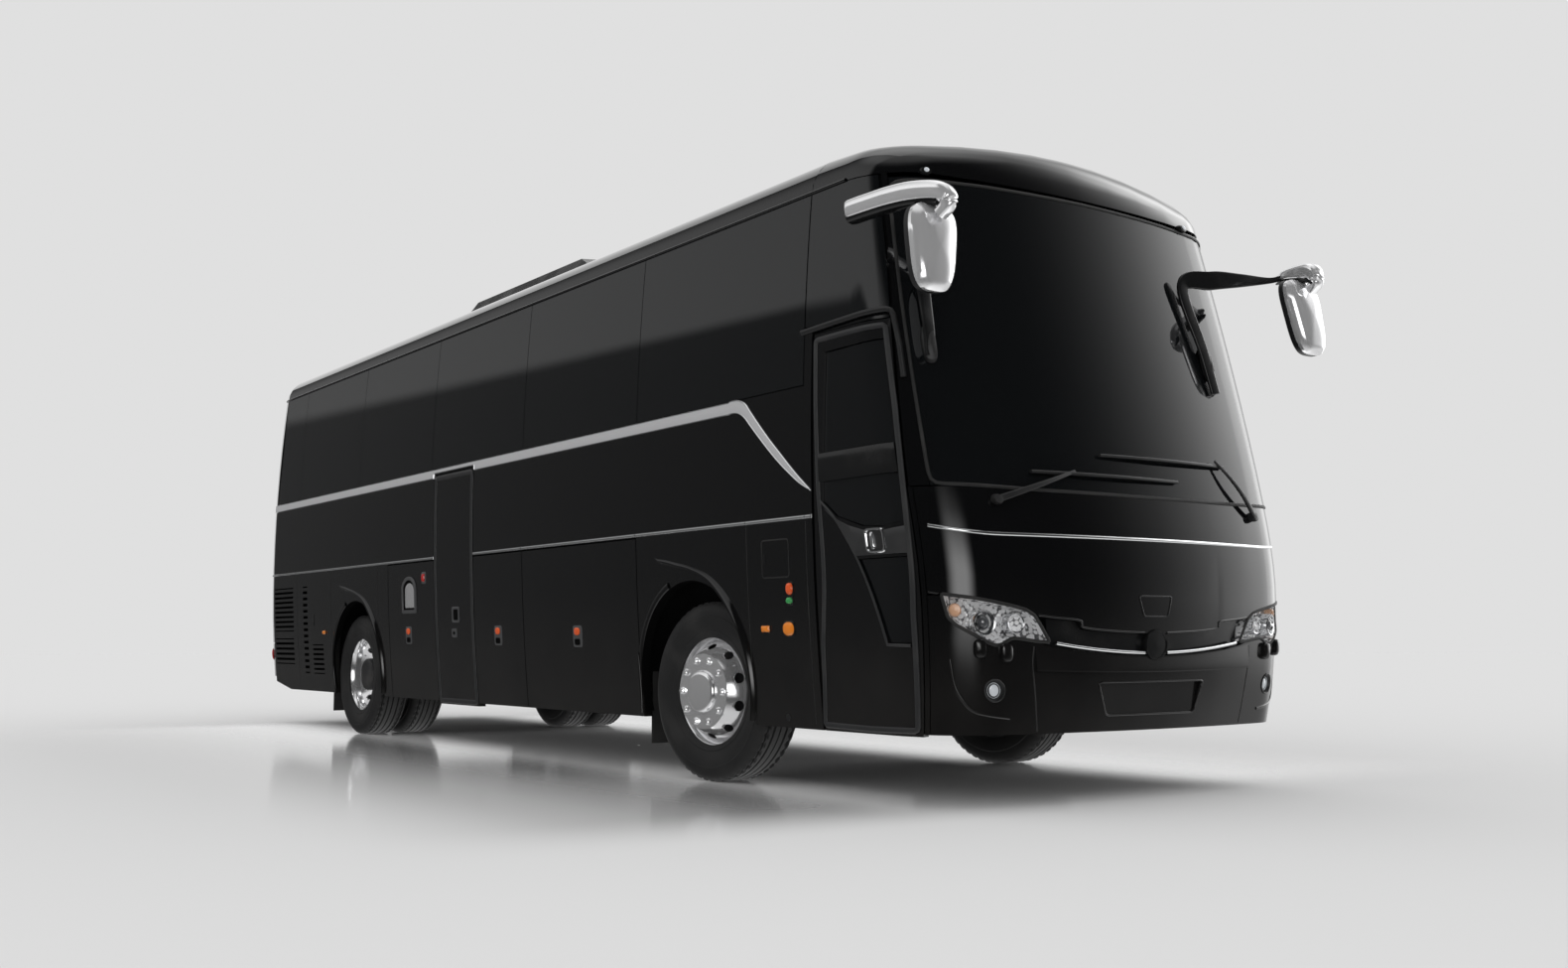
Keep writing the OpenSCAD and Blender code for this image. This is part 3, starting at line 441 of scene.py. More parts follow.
# Lamp reflectors: a near-white colour with little metal, which paints in the brightness that their chrome would
# reflect; their facets also carry painted shade.
REFLECTOR = Facets("lamp_reflector", "clear_lens", (0.98, 0.98, 0.99), 0.08, 0.15)
HOUSING = Facets("lamp_housing", "clear_lens", (0.98, 0.98, 0.99), 0.08, 0.1)
PROJECTOR = Finish("lamp_projector", "clear_lens", (0.06, 0.062, 0.066), 0.03, specular=0.8, coat=1.0)
PALE_AMBER = Lens("lamp_pale_amber", "clear_lens", (0.62, 0.36, 0.22), 0.1, coat=0.5)
COVER = Finish("lamp_cover", "clear_lens", (0.02, 0.02, 0.021), 0.01, specular=0.5, alpha=0.04)
LINER = Grained("arch_liner", "black_plastic", (0.0025, 0.0025, 0.0026), 0.9, specular=0.05, grain=90.0, dust=0.0)
BULB = Lens("lamp_clear", "clear_lens", (0.62, 0.65, 0.68), 0.04, coat=0.5, ribs=40.0)
AMBER = Lens("lamp_amber", "clear_lens", (0.75, 0.22, 0.02), 0.08, coat=0.5)
RED = Lens("lamp_red", "red_lens", (0.42, 0.01, 0.008), 0.08, coat=0.5)
ORANGE = Lens("marker_orange", "red_lens", (0.72, 0.1, 0.02), 0.1, coat=0.5)
GREEN = Lens("lamp_green", "clear_lens", (0.04, 0.3, 0.08), 0.1, coat=0.5)
PLASTIC = Grained("plastic_black", "black_plastic", (0.011, 0.0112, 0.0118), 0.42, dust=0.12)
SMOOTH_PLASTIC = Grained("plastic_smooth", "black_plastic", (0.007, 0.0072, 0.0075), 0.16, specular=0.35, grain=80.0,
                         depth=0.0001, dust=0.05)
TRIM = Grained("trim_grey", "black_plastic", (0.06, 0.061, 0.063), 0.42, dust=0.05)
GREY_PLASTIC = Grained("plastic_grey", "black_plastic", (0.022, 0.0225, 0.0235), 0.38, dust=0.1)
RUBBER = Grained("rubber_seal", "black_rubber", (0.009, 0.009, 0.009), 0.6, dust=0.15)
TYRE = Grained("tyre_rubber_dusty", "tyre_rubber", (0.01, 0.01, 0.0103), 0.62, grain=260.0, depth=0.0006, dust=0.14)
STEEL = Grained("steel_black", "frame_steel", (0.02, 0.02, 0.021), 0.5, grain=120.0, dust=0.35)
IRON = Grained("iron_cast", "engine_iron", (0.07, 0.07, 0.072), 0.6, grain=160.0, depth=0.0012, dust=0.5)
FLOORING = Grained("floor_vinyl", "floor_grey", (0.045, 0.046, 0.048), 0.55, grain=320.0, dust=0.3)
CLOTH = Cloth("seat_cloth_woven", "seat_cloth", (0.02, 0.022, 0.028), 0.85)
MIRROR = Bright("mirror_glass", "mirror_chrome", (0.7, 0.71, 0.72), 0.01, 1.0, scuff=0.02)


def spline(points: Sequence[Sequence[float]], count: int) -> Array:
    """Smooth curve through points: cubic pieces whose slope at a point is half the step between its neighbours.

    Args:
        points: Points on the curve.
        count: Number of points wanted.

    Returns:
        The curve, one row a point.
    """
    p = np.asarray(points, float)
    t = np.linspace(0.0, len(p) - 1.0, count)
    i = np.minimum(t.astype(int), len(p) - 2)
    f = (t - i)[:, None]
    slope = np.gradient(p, axis=0)
    a, b = 2 * f**3 - 3 * f**2 + 1, f**3 - 2 * f**2 + f
    return a * p[i] + b * slope[i] + (1 - a) * p[i + 1] + (f**3 - f**2) * slope[i + 1]


def even(points: Any, count: int, closed: bool = False) -> Array:
    """Polyline resampled at equal steps of its length.

    Args:
        points: Corners of the line.
        count: Number of points wanted.
        closed: Join the last corner to the first.

    Returns:
        The new points.
    """
    p = np.asarray(points, float)
    p = np.vstack([p, p[:1]]) if closed else p
    run = np.concatenate([[0.0], np.cumsum(np.linalg.norm(np.diff(p, axis=0), axis=1))])
    at = np.linspace(0.0, run[-1], count, endpoint=not closed)
    return np.stack([np.interp(at, run, p[:, k]) for k in range(p.shape[1])], axis=1)


def rounded(points: Any, count: int = 64, radius: float = 0.02) -> Array:
    """Closed outline whose corners are parabolas that start and end a radius away, at most 0.45 of a side.

    Args:
        points: Corners of the outline.
        count: Number of points wanted.
        radius: Distance from a corner at which its bend starts.

    Returns:
        The rounded outline.
    """
    p = np.asarray(points, float)
    ahead, back = np.roll(p, -1, axis=0) - p, np.roll(p, 1, axis=0) - p
    reach = [side * np.minimum(radius / np.linalg.norm(side, axis=1, keepdims=True), 0.45) for side in (back, ahead)]
    t = np.linspace(0.0, 1.0, 7)[None, :, None]
    bends = p[:, None] + (1 - t) ** 2 * reach[0][:, None] + t**2 * reach[1][:, None]
    return even(bends.reshape(-1, p.shape[1]), count, closed=True)


def squircle(centre: Sequence[float], half: Sequence[float], power: float = 4.0, count: int = 48) -> Array:
    """Outline |a/A|^n + |b/B|^n = 1 about a centre: n of 2 is an ellipse, higher is squarer.

    Args:
        centre: Its middle.
        half: Half sizes A and B.
        power: The power n.
        count: Number of points wanted.

    Returns:
        The outline.
    """
    t = np.linspace(0.0, 2 * np.pi, count, endpoint=False)
    c, s = np.cos(t), np.sin(t)
    a = np.sign(c) * np.abs(c) ** (2 / power) * half[0] + centre[0]
    return np.stack([a, np.sign(s) * np.abs(s) ** (2 / power) * half[1] + centre[1]], axis=1)


def bead(width: float, height: float, sink: float = 0.002, count: int = 7) -> Array:
    """Half-round section with its foot sunk below the skin: (cos t * width / 2, sin t * height).

    Args:
        width: Width across.
        height: Height above the skin.
        sink: Depth of the foot.
        count: Number of points on the round.

    Returns:
        Rows of (across, out).
    """
    t = np.linspace(np.pi, 0.0, count)
    arch = np.stack([np.cos(t) * width / 2, np.sin(t) * height], axis=1)
    return np.vstack([[[-width / 2, -sink]], arch, [[width / 2, -sink]]])


@dataclass
class Surface:
    """Points and faces of a piece, gathered as whole arrays."""

    points: Array
    faces: list[list[int]]

    @classmethod
    def grid(cls, rows: Array, wrap_rows: bool = False, wrap_cols: bool = False, caps: bool = False) -> "Surface":
        """Quads between neighbours of a grid of points.

        Args:
            rows: Points as rows, columns and coordinates.
            wrap_rows: Join the last row to the first.
            wrap_cols: Join the last column to the first.
            caps: Close the first and the last row with one face each.

        Returns:
            The surface.
        """
        n, m = rows.shape[:2]
        i = np.arange(n if wrap_rows else n - 1)[:, None]
        j = np.arange(m if wrap_cols else m - 1)[None, :]
        i2, j2 = (i + 1) % n, (j + 1) % m
        quads = np.stack([i * m + j, i * m + j2, i2 * m + j2, i2 * m + j], axis=-1).reshape(-1, 4)
        ends = [list(range(m))[::-1], list(range((n - 1) * m, n * m))] if caps else []
        return cls(rows.reshape(-1, 3), quads.tolist() + ends)

    @classmethod
    def join(cls, parts: Sequence["Surface"]) -> "Surface":
        """Several surfaces as one.

        Args:
            parts: The surfaces.

        Returns:
            One surface with all their points and faces.
        """
        starts = np.cumsum([0] + [len(p.points) for p in parts])
        faces = [[k + s for k in face] for p, s in zip(parts, starts.tolist()) for face in p.faces]
        return cls(np.vstack([p.points for p in parts]), faces)

    @classmethod
    def sweep(cls, path: Array, section: Array, up: Sequence[float] = (0.0, 0.0, 1.0), scale: Any = 1.0) -> "Surface":
        """Closed section carried along a path: point = path + across * side + out * lift, side = path's way x up.

        Args:
            path: Points of the path.
            section: Closed section as rows of (across, out).
            up: Direction that the section's second number leans to.
            scale: Size of the section at each path point.

        Returns:
            The closed tube.
        """
        way = np.gradient(path, axis=0)
        way = way / np.linalg.norm(way, axis=1, keepdims=True)
        side = np.cross(way, np.asarray(up, float))
        side = side / np.maximum(np.linalg.norm(side, axis=1, keepdims=True), 1e-9)
        lift = np.cross(side, way)
        size = np.broadcast_to(np.asarray(scale, float), (len(path),))[:, None, None]
        flat = section[None, :, :, None]
        rows = path[:, None] + size * (flat[:, :, 0] * side[:, None] + flat[:, :, 1] * lift[:, None])
        return cls.grid(rows, wrap_cols=True, caps=True)

    @classmethod
    def revolve(cls, profile: Array, count: int = 96, closed: bool = True) -> "Surface":
        """Profile turned about Y: point = (r sin a, h, r cos a).

        Args:
            profile: Rows of (radius, height).
            count: Number of steps round.
            closed: Join the profile's ends.

        Returns:
            The turned surface.
        """
        a = np.linspace(0.0, 2 * np.pi, count, endpoint=False)[:, None]
        r, h = profile[None, :, 0], profile[None, :, 1]
        rows = np.stack([r * np.sin(a), h + 0 * a, r * np.cos(a)], axis=-1)
        return cls.grid(rows, wrap_rows=True, wrap_cols=closed)

    def moved(self, shift: Sequence[float], turn: float = 0.0, flip: bool = False) -> "Surface":
        """Copy turned about Z by an angle, its Y reversed first if flip is set, then moved.

        Args:
            shift: Movement in metres.
            turn: Angle in radians.
            flip: Mirror the surface in Y first.

        Returns:
            The copy.
        """
        p = self.points * np.array([1.0, -1.0 if flip else 1.0, 1.0])
        c, s = np.cos(turn), np.sin(turn)
        spun = np.stack([c * p[:, 0] - s * p[:, 1], s * p[:, 0] + c * p[:, 1], p[:, 2]], axis=1)
        return Surface(spun + np.asarray(shift, float), self.faces)

    def build(self, name: str, finish: Finish, body: str = "coach_body", sharp: float = 35.0) -> bpy.types.Object:
        """Make the mesh object, with its normals outwards and smooth shading between its sharp edges.

        Args:
            name: Name of the piece.
            finish: Its finish.
            body: Body that it rides on.
            sharp: Angle in degrees past which an edge stays sharp.

        Returns:
            The object.
        """
        mesh = bpy.data.meshes.new(name)
        mesh.from_pydata(self.points.tolist(), [], self.faces)
        work = bmesh.new()
        work.from_mesh(mesh)
        bmesh.ops.remove_doubles(work, verts=work.verts, dist=1e-6)
        bmesh.ops.recalc_face_normals(work, faces=work.faces)
        work.to_mesh(mesh)
        work.free()
        mesh.shade_smooth()
        mesh.set_sharp_from_angle(angle=np.radians(sharp))
        mesh.materials.append(finish.material())
        made = bpy.data.objects.new(name, mesh)
        bpy.context.scene.collection.objects.link(made)
        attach(made, body)
        LOG.info("piece %s on %s, %d faces", name, body, len(mesh.polygons))
        return made


def boss(skin: Skin, outline: Array, steps: Steps) -> Surface:
    """Closed button on a skin: its outline is shrunk about its middle and lifted, step by step.

    Args:
        skin: Skin that it sits on.
        outline: Closed outline on the skin.
        steps: Pairs of (share of the outline's size, height above the skin).

    Returns:
        The button, closed at its first and last step.
    """
    middle = (outline.min(axis=0) + outline.max(axis=0)) / 2
    rings = [skin(*(middle + (outline - middle) * size).T, out) for size, out in steps]
    return Surface.grid(np.stack(rings), wrap_cols=True, caps=True)


def line(skin: Skin, path: Array, section: Array, closed: bool = False) -> Surface:
    """Trim on a skin: each section point is set across the path, within the skin, and out from it.

    Args:
        skin: Skin that it sits on.
        path: Points of its middle line on the skin.
        section: Rows of (across, out).
        closed: Join its ends.

    Returns:
        The trim.
    """
    around = np.vstack([path[-1:], path, path[:1]]) if closed else path
    way = np.gradient(around, axis=0)[1:-1] if closed else np.gradient(around, axis=0)
    way = way / np.maximum(np.linalg.norm(way, axis=1, keepdims=True), 1e-9)
    across = np.stack([-way[:, 1], way[:, 0]], axis=1)
    spots = path[:, None] + across[:, None] * section[None, :, :1]
    rows = skin(spots[..., 0], spots[..., 1], np.broadcast_to(section[None, :, 1], spots.shape[:2]))
    return Surface.grid(rows, wrap_rows=closed, wrap_cols=True, caps=not closed)


def band(skin: Skin, low: Array, high: Array, section: Array) -> Surface:
    """Strip between two edges on a skin: section rows give (share from low to high, out).

    Args:
        skin: Skin that it sits on.
        low: Points of the lower edge.
        high: Matching points of the upper edge.
        section: Closed section.

    Returns:
        The strip.
    """
    share = section[None, :, :1]
    spots = low[:, None] * (1 - share) + high[:, None] * share
    rows = skin(spots[..., 0], spots[..., 1], np.broadcast_to(section[None, :, 1], spots.shape[:2]))
    return Surface.grid(rows, wrap_cols=True, caps=True)


@dataclass(frozen=True)
class CoachShape:
    """Skin of the body. X is from the front axle in the arguments, and in the row frame in the results."""

    axle_x: float = 2.735
    half_width: float = 1.25
    widest: float = 1.72
    wall_radius: float = 13.5
    nose_x: float = 2.135
    tail_x: float = -7.65
    bow_share: float = 0.6

    def wall_y(self, z: Any) -> Any:
        """Half width at a height: a wide arc about the widest height."""
        return self.half_width - (z - self.widest) ** 2 / (2 * self.wall_radius)

    def nose(self, z: Any) -> Any:
        """Foremost X at a height: a chin arc below 0.95 m, a hyperbola into the screen's lean above."""
        h = z - 0.95
        return self.nose_x - np.where(h > 0, 0.25 * (np.sqrt(h * h + 0.1024) - 0.32), h * h / 7.0)

    def tail(self, z: Any) -> Any:
        """Rearmost X at a height."""
        return self.tail_x + 0.07 * np.maximum(z - 1.0, 0.0)

    def end(self, front: bool, u: Any, z: Any, out: Any) -> Array:
        """Point of the front or rear skin: a flat bow up to share 0.6, a corner arc to share 1, then along the wall.

        Args:
            front: Front skin, or the rear one.
            u: Share of the half outline, negative to the right.
            z: Height.
            out: Height above the skin.

        Returns:
            The points.
        """
        u, z, out = np.broadcast_arrays(np.asarray(u, float), np.asarray(z, float), np.asarray(out, float))
        r, bow = (0.35, 5.0) if front else (0.25, 8.0)
        a = np.abs(u)
        y = np.minimum(a / self.bow_share, 1.0) * (self.wall_y(z) - r)
        lean = np.arctan(y / bow)
        corner = np.clip((a - self.bow_share) / (1 - self.bow_share), 0.0, 1.0)
        turn = lean + (np.pi / 2 - lean) * corner
        back = r + y * y / (2 * bow) - (r + out) * np.cos(turn) + np.maximum(a - 1.0, 0.0)
        x = self.nose(z) - back if front else self.tail(z) + back
        return np.stack([x + self.axle_x, np.sign(u) * (y + (r + out) * np.sin(turn)), z], axis=-1)

    def front(self, u: Any, z: Any, out: Any) -> Array:
        """Point of the front skin by share and height."""
        return self.end(True, u, z, out)

    def rear(self, u: Any, z: Any, out: Any) -> Array:
        """Point of the rear skin by share and height."""
        return self.end(False, u, z, out)

    def arc(self, u: Any) -> Any:
        """Metres along the front skin from its middle to a share."""
        a = np.abs(u)
        return np.sign(u) * np.interp(a, [0.0, 0.6, 1.0, 2.0], [0.0, 0.88, 1.369, 2.369])

    def share(self, s: Any) -> Any:
        """Share of the front outline at metres from its middle."""
        a = np.abs(s)
        return np.sign(s) * np.interp(a, [0.0, 0.88, 1.369, 2.369], [0.0, 0.6, 1.0, 2.0])

    def face(self, s: Any, z: Any, out: Any) -> Array:
        """Point of the front skin by metres along it and height."""
        return self.end(True, self.share(s), z, out)

    def flat(self, outline: Any, sign: float = 1.0) -> Array:
        """Outline in shares turned to metres along the front skin, mirrored if sign is negative."""
        p = np.asarray(outline, float)
        return np.stack([sign * self.arc(p[:, 0]), p[:, 1]], axis=1)

    def flank(self, side: Side) -> Skin:
        """Skin of one side by X and height, carried round the rear corner.

        Args:
            side: Side of the coach.

        Returns:
            The skin.
        """
        def skin(x: Any, z: Any, out: Any) -> Array:
            """Wall ahead of the corner, corner arc behind it.

            Args:
                x: X from the front axle.
                z: Height.
                out: Height above the skin.

            Returns:
                The points.
            """
            x, z, out = np.broadcast_arrays(np.asarray(x, float), np.asarray(z, float), np.asarray(out, float))
            edge = self.tail(z) + 0.3125
            wall = np.stack([x + self.axle_x, side.value * (self.wall_y(z) + out), z], axis=-1)
            corner = self.rear(side.value * (1.0 - np.maximum(edge - x, 0.0) * 0.4 / 0.365), z, out)
            return np.where((x >= edge)[..., None], wall, corner)
        return skin


SHAPE = CoachShape()
PAD_STEPS: Steps = ((1.0, -0.003), (1.0, 0.002), (0.93, 0.004), (0.02, 0.0045))


@dataclass
class Bodywork:
    """CAD nodes that show as they are: each is smoothed over its facets and gets its finish."""

    angle: float = 32.0

    def finishes(self) -> dict[str, Finish]:
        """Finish of each node that isn't replaced.

        Returns:
            Finish by node name.
        """
        paint = ("right_wall left_wall cab_side door_header front_panel bumper screen_pillars rear_panel rear_bumper "
                 "front_door middle_door right_flap_1 right_flap_2 right_flap_3 left_flap_1 left_flap_2 left_flap_3 "
                 "engine_lid")
        table: dict[str, Finish] = dict.fromkeys(paint.split(), PAINT)
        table.update(dict.fromkeys(("right_glass", "left_glass", "rear_glass", "front_door_glass"), PANE))
        table.update(dict.fromkeys(("front_grille", "air_unit"), SMOOTH_PLASTIC))
        table["side_grilles"] = LINER
        table.update(dict.fromkeys(("roof", "roof_front", "roof_rear"), ROOF_PAINT))
        table.update(dict.fromkeys(("chassis", "tow_eyes", "knuckle_left", "knuckle_right"), STEEL))
        table.update(dict.fromkeys(("front_axle", "rear_axle", "engine"), IRON))
        table.update({"windscreen": SCREEN, "floor": FLOORING, "dashboard": PLASTIC, "mudflaps": RUBBER,
                      "tail_lamps": RED})
        return table

    def smoothing(self) -> bpy.types.NodeTree:
        """Geometry nodes that weld a node's loose triangles and shade smooth below the angle.

        Returns:
            The node group.
        """
        tree = bpy.data.node_groups.new("weld_and_smooth", "GeometryNodeTree")
        tree.interface.new_socket("Geometry", in_out="INPUT", socket_type="NodeSocketGeometry")
        tree.interface.new_socket("Geometry", in_out="OUTPUT", socket_type="NodeSocketGeometry")
        graph = Graph(tree)
        weld = graph.node("GeometryNodeMergeByDistance", {}, {0: graph.node("NodeGroupInput"), "Distance": 2e-5})
        edge = graph.node("GeometryNodeInputMeshEdgeAngle").math("GREATER_THAN", float(np.radians(self.angle)))
        face = graph.node("GeometryNodeSetMeshNormal", {"mode": "SHARPNESS"}, {"Mesh": weld, "Edge Sharpness": edge})
        graph.node("NodeGroupOutput", {}, {0: face})
        return tree

    def dress(self, frame: dict) -> None:
        """Give every node that is listed its finish and the smoothing.

        Args:
            frame: The loaded frame.
        """
        group = self.smoothing()
        for name, finish in self.finishes().items():
            item = frame["nodes"][name]
            item.data.materials.clear()
            item.data.materials.append(finish.material())
            item.modifiers.new("weld_and_smooth", "NODES").node_group = group
            LOG.info("node %s in %s", name, finish.name)


@dataclass
class SideTrim:
    """Silver stripe under the side windows and the bright belt line along both sides."""

    stripe_rear: float = -7.5
    stripe_low: float = 1.927
    stripe_high: float = 1.995
    bend_high: tuple = ((0.365, 2.0), (0.433, 1.999), (0.483, 1.985), (0.519, 1.963), (0.564, 1.918), (0.652, 1.834),
                        (0.738, 1.756), (0.822, 1.685), (0.903, 1.616), (0.982, 1.552), (1.06, 1.494), (1.083, 1.476))
    bend_low: tuple = ((0.368, 1.929), (0.422, 1.927), (0.467, 1.915), (0.512, 1.889), (0.566, 1.841), (0.653, 1.765),
                       (0.738, 1.693), (0.821, 1.628), (0.902, 1.571), (0.982, 1.519), (1.044, 1.488), (1.08, 1.474))
    door: tuple[float, float] = (-3.585, -2.875)
    door_low: float = 1.962
    belt_z: float = 1.349
    belt_left: tuple[float, float] = (-3.582, -2.878)
    belts: tuple = ((-7.475, -6.674), (-6.668, -5.137), (-5.131, -3.585), (-2.875, -2.12), (-2.114, -0.628),
                    (-0.622, 0.507), (0.513, 1.027), (1.033, 1.08))

    def edges(self, side: Side) -> tuple[Array, Array]:
        """Lower and upper edge of the stripe, point for point.

        Args:
            side: Side of the coach; only the right one has the middle door.

        Returns:
            Lower edge and upper edge.
        """
        x = np.concatenate([np.linspace(self.stripe_rear, self.door[0] - 0.001, 60), np.linspace(*self.door, 8),
                            np.linspace(self.door[1] + 0.001, 0.36, 50)])
        over = (x >= self.door[0]) & (x <= self.door[1]) & (side is Side.RIGHT)
        low = np.stack([x, np.where(over, self.door_low, self.stripe_low)], axis=1)
        high = np.stack([x, np.full_like(x, self.stripe_high)], axis=1)
        return np.vstack([low, spline(self.bend_low, 48)]), np.vstack([high, spline(self.bend_high, 48)])

    def build(self) -> None:
        """Make stripe, its bright edges and the belt line on both sides."""
        flat = np.array([(0.0, -0.002), (0.0, 0.003), (0.1, 0.0045), (0.5, 0.005), (0.9, 0.0045), (1.0, 0.003),
                         (1.0, -0.002)])
        for side in Side:
            skin, word = SHAPE.flank(side), side.name.lower()
            low, high = self.edges(side)
            band(skin, low, high, flat).build(f"stripe_{word}", SATIN)
            parts = [line(skin, low + [0, 0.004], bead(0.009, 0.007)),
                     line(skin, high - [0, 0.004], bead(0.009, 0.007))]
            Surface.join(parts).build(f"stripe_edges_{word}", CHROME)
            runs = [np.stack([np.linspace(a, b, 24), np.full(24, self.belt_z)], axis=1) for a, b in self.belts]
            if side is Side.LEFT:
                runs.append(np.stack([np.linspace(*self.belt_left, 12), np.full(12, self.belt_z)], axis=1))
            Surface.join([line(skin, run, bead(0.02, 0.008)) for run in runs]).build(f"belt_line_{word}", CHROME)


@dataclass
class Wheels:
    """Treaded tyres, holed disc rims, nuts and hubs, which stand for the plain ones of the frame."""

    tyre_r: float = 0.479
    half: float = 0.134
    bead_r: float = 0.286
    axle_z: float = 0.479
    front_y: float = 1.038
    kingpin_y: float = 0.9
    steer: float = 6.8
    rear_x: float = -5.3
    rear_y: float = 1.026
    twin: float = 0.31
    turns: int = 216
    holes: int = 10

    def tyre(self) -> Surface:
        """Tyre as a grid round the axle and round its section.

        The section runs from bead to bead. Grooves cut into the tread are 1 in three rings across its width and in
        slanted slots round the shoulders, so radius = section - 9 mm * ring - 8 mm * slot.

        Returns:
            The tyre, its middle plane at Y 0.
        """
        r, h = self.tyre_r, self.half
        sides = [(self.bead_r, h - 0.029), (self.bead_r + 0.012, h - 0.022), (self.bead_r + 0.03, h - 0.014),
                 (self.bead_r + 0.034, h - 0.017), (self.bead_r + 0.06, h - 0.006), (self.bead_r + 0.09, h),
                 (r - 0.075, h), (r - 0.071, h - 0.004), (r - 0.05, h - 0.005), (r - 0.03, h - 0.011),
                 (r - 0.012, h - 0.022), (r - 0.004, h - 0.03)]
        tread = np.stack([np.full(41, r), np.linspace(h - 0.034, 0.034 - h, 41)], axis=1)
        left = np.array(sides)
        section = np.vstack([left, tread, left[::-1] * [1, -1], [[self.bead_r + 0.01, 0.0]]])
        on_tread = section[:, 0] > r - 0.001
        across = section[:, 1] / h
        ring = on_tread * (np.abs((np.abs(across) * 3.1 + 0.5) % 1.0 - 0.5) < 0.1)
        a = np.linspace(0.0, 2 * np.pi, self.turns, endpoint=False)[:, None]
        slot = ((a * 54 / (2 * np.pi) + 0.9 * np.abs(across)[None]) % 1.0 < 0.26) & (np.abs(across)[None] > 0.5)
        slot = slot & (section[None, :, 0] > r - 0.006)
        radius = section[None, :, 0] - 0.009 * ring[None] - 0.008 * slot
        rows = np.stack([radius * np.sin(a), section[None, :, 1] + 0 * a, radius * np.cos(a)], axis=-1)
        return Surface.grid(rows, wrap_rows=True, wrap_cols=True)

    def barrel(self) -> Surface:
        """Rim barrel: a well with rolled lips on both edges.

        Returns:
            The barrel.
        """
        p = [(0.2925, 0.1), (0.296, 0.106), (0.2995, 0.103), (0.299, 0.097), (0.2855, 0.092), (0.283, -0.092),
             (0.299, -0.097), (0.2995, -0.103), (0.296, -0.106), (0.2925, -0.1), (0.272, -0.08), (0.27, 0.05),
             (0.276, 0.075), (0.284, 0.088)]
        return Surface.revolve(np.array(p), 128)

    def cone(self, outer: tuple[float, float], inner: tuple[float, float], hole: float, thick: float) -> Surface:
        """Conical disc with round hand holes: in each sector a polar grid runs from the hole to the sector's frame.

        Args:
            outer: Radius and height of the outer edge.
            inner: Radius and height of the inner edge.
            hole: Radius of a hole.
            thick: Thickness of the disc.

        Returns:
            The closed disc.
        """
        f = np.linspace(0.0, 2 * np.pi, 48, endpoint=False)
        run = float(np.hypot(outer[0] - inner[0], outer[1] - inner[1]))
        mid_r = (outer[0] + inner[0]) / 2
        wide = np.pi * mid_r / self.holes
        c, s = np.cos(f), np.sin(f)
        square = np.minimum(wide / np.maximum(np.abs(c), 1e-9), run / 2 / np.maximum(np.abs(s), 1e-9))
        t = np.linspace(0.0, 1.0, 6)[:, None]
        reach = hole * (1 - t) + square[None] * t
        along, up = (reach * c) / mid_r, (reach * s) / run + 0.5
        angle = along[None] + (np.arange(self.holes) * 2 * np.pi / self.holes)[:, None, None]
        r = outer[0] + (inner[0] - outer[0]) * up
        h = outer[1] + (inner[1] - outer[1]) * up

        def layer(sink: float) -> Array:
            """Points of the disc at a depth below its outer face, as sectors, rings and columns."""
            return np.stack([r * np.sin(angle), np.broadcast_to(h - sink, angle.shape), r * np.cos(angle)], axis=-1)
        face, back = layer(0.0), layer(thick)
        rows = np.concatenate([back[:, ::-1], face], axis=1)
        return Surface.join([Surface.grid(sector, wrap_rows=True, wrap_cols=True) for sector in rows])

    def nuts(self, ring: float, foot: float, count: int = 10) -> Surface:
        """Wheel nuts: hexagons with a domed end on a ring, each a stack of shrinking rings.

        Args:
            ring: Radius of the ring.
            foot: Height of their foot.
            count: Number of nuts.

        Returns:
            The nuts.
        """
        steps = np.array([(0.021, -0.002), (0.021, 0.003), (0.0165, 0.005), (0.0165, 0.013), (0.012, 0.018),
                          (0.002, 0.02)])
        f = np.linspace(0.0, 2 * np.pi, 12, endpoint=False)
        six = 1.0 - 0.06 * (np.arange(12) % 2)
        a = np.linspace(0.0, 2 * np.pi, count, endpoint=False) + np.pi / count
        u = steps[:, :1] * six * np.cos(f)
        v = steps[:, :1] * six * np.sin(f)
        parts = []
        for angle in a.tolist():
            x = (ring + v) * np.sin(angle) + u * np.cos(angle)
            z = (ring + v) * np.cos(angle) - u * np.sin(angle)
            rows = np.stack([x, np.broadcast_to(foot + steps[:, 1:], x.shape), z], axis=-1)
            parts.append(Surface.grid(rows, wrap_cols=True, caps=True))
        return Surface.join(parts)

    def front_rim(self) -> list[tuple[str, Surface, Finish]]:
        """Convex front wheel: barrel, holed cone, stud plate, nuts and domed hub.

        Returns:
            Name, surface and finish of each piece.
        """
        plate = np.array([(0.202, 0.16), (0.2, 0.167), (0.19, 0.169), (0.112, 0.169), (0.108, 0.165), (0.1, 0.15),
                          (0.1, 0.14), (0.195, 0.14)])
        hub = spline([(0.1, 0.14), (0.112, 0.168), (0.111, 0.18), (0.102, 0.192), (0.07, 0.2), (0.03, 0.203),
                      (0.0005, 0.2035)], 24)
        back = np.vstack([hub, [[0.0005, 0.14]]])
        dark = np.array([(0.27, -0.04), (0.27, 0.03), (0.06, 0.1), (0.06, 0.06), (0.2, -0.05)])
        rim = [self.barrel(), self.cone((0.274, 0.048), (0.2, 0.166), 0.029, 0.008), Surface.revolve(plate),
               self.nuts(0.1675, 0.169)]
        return [("rim", Surface.join(rim), ALLOY), ("hub", Surface.revolve(back, 64), ALLOY),
                ("drum", Surface.revolve(dark, 64), STEEL)]

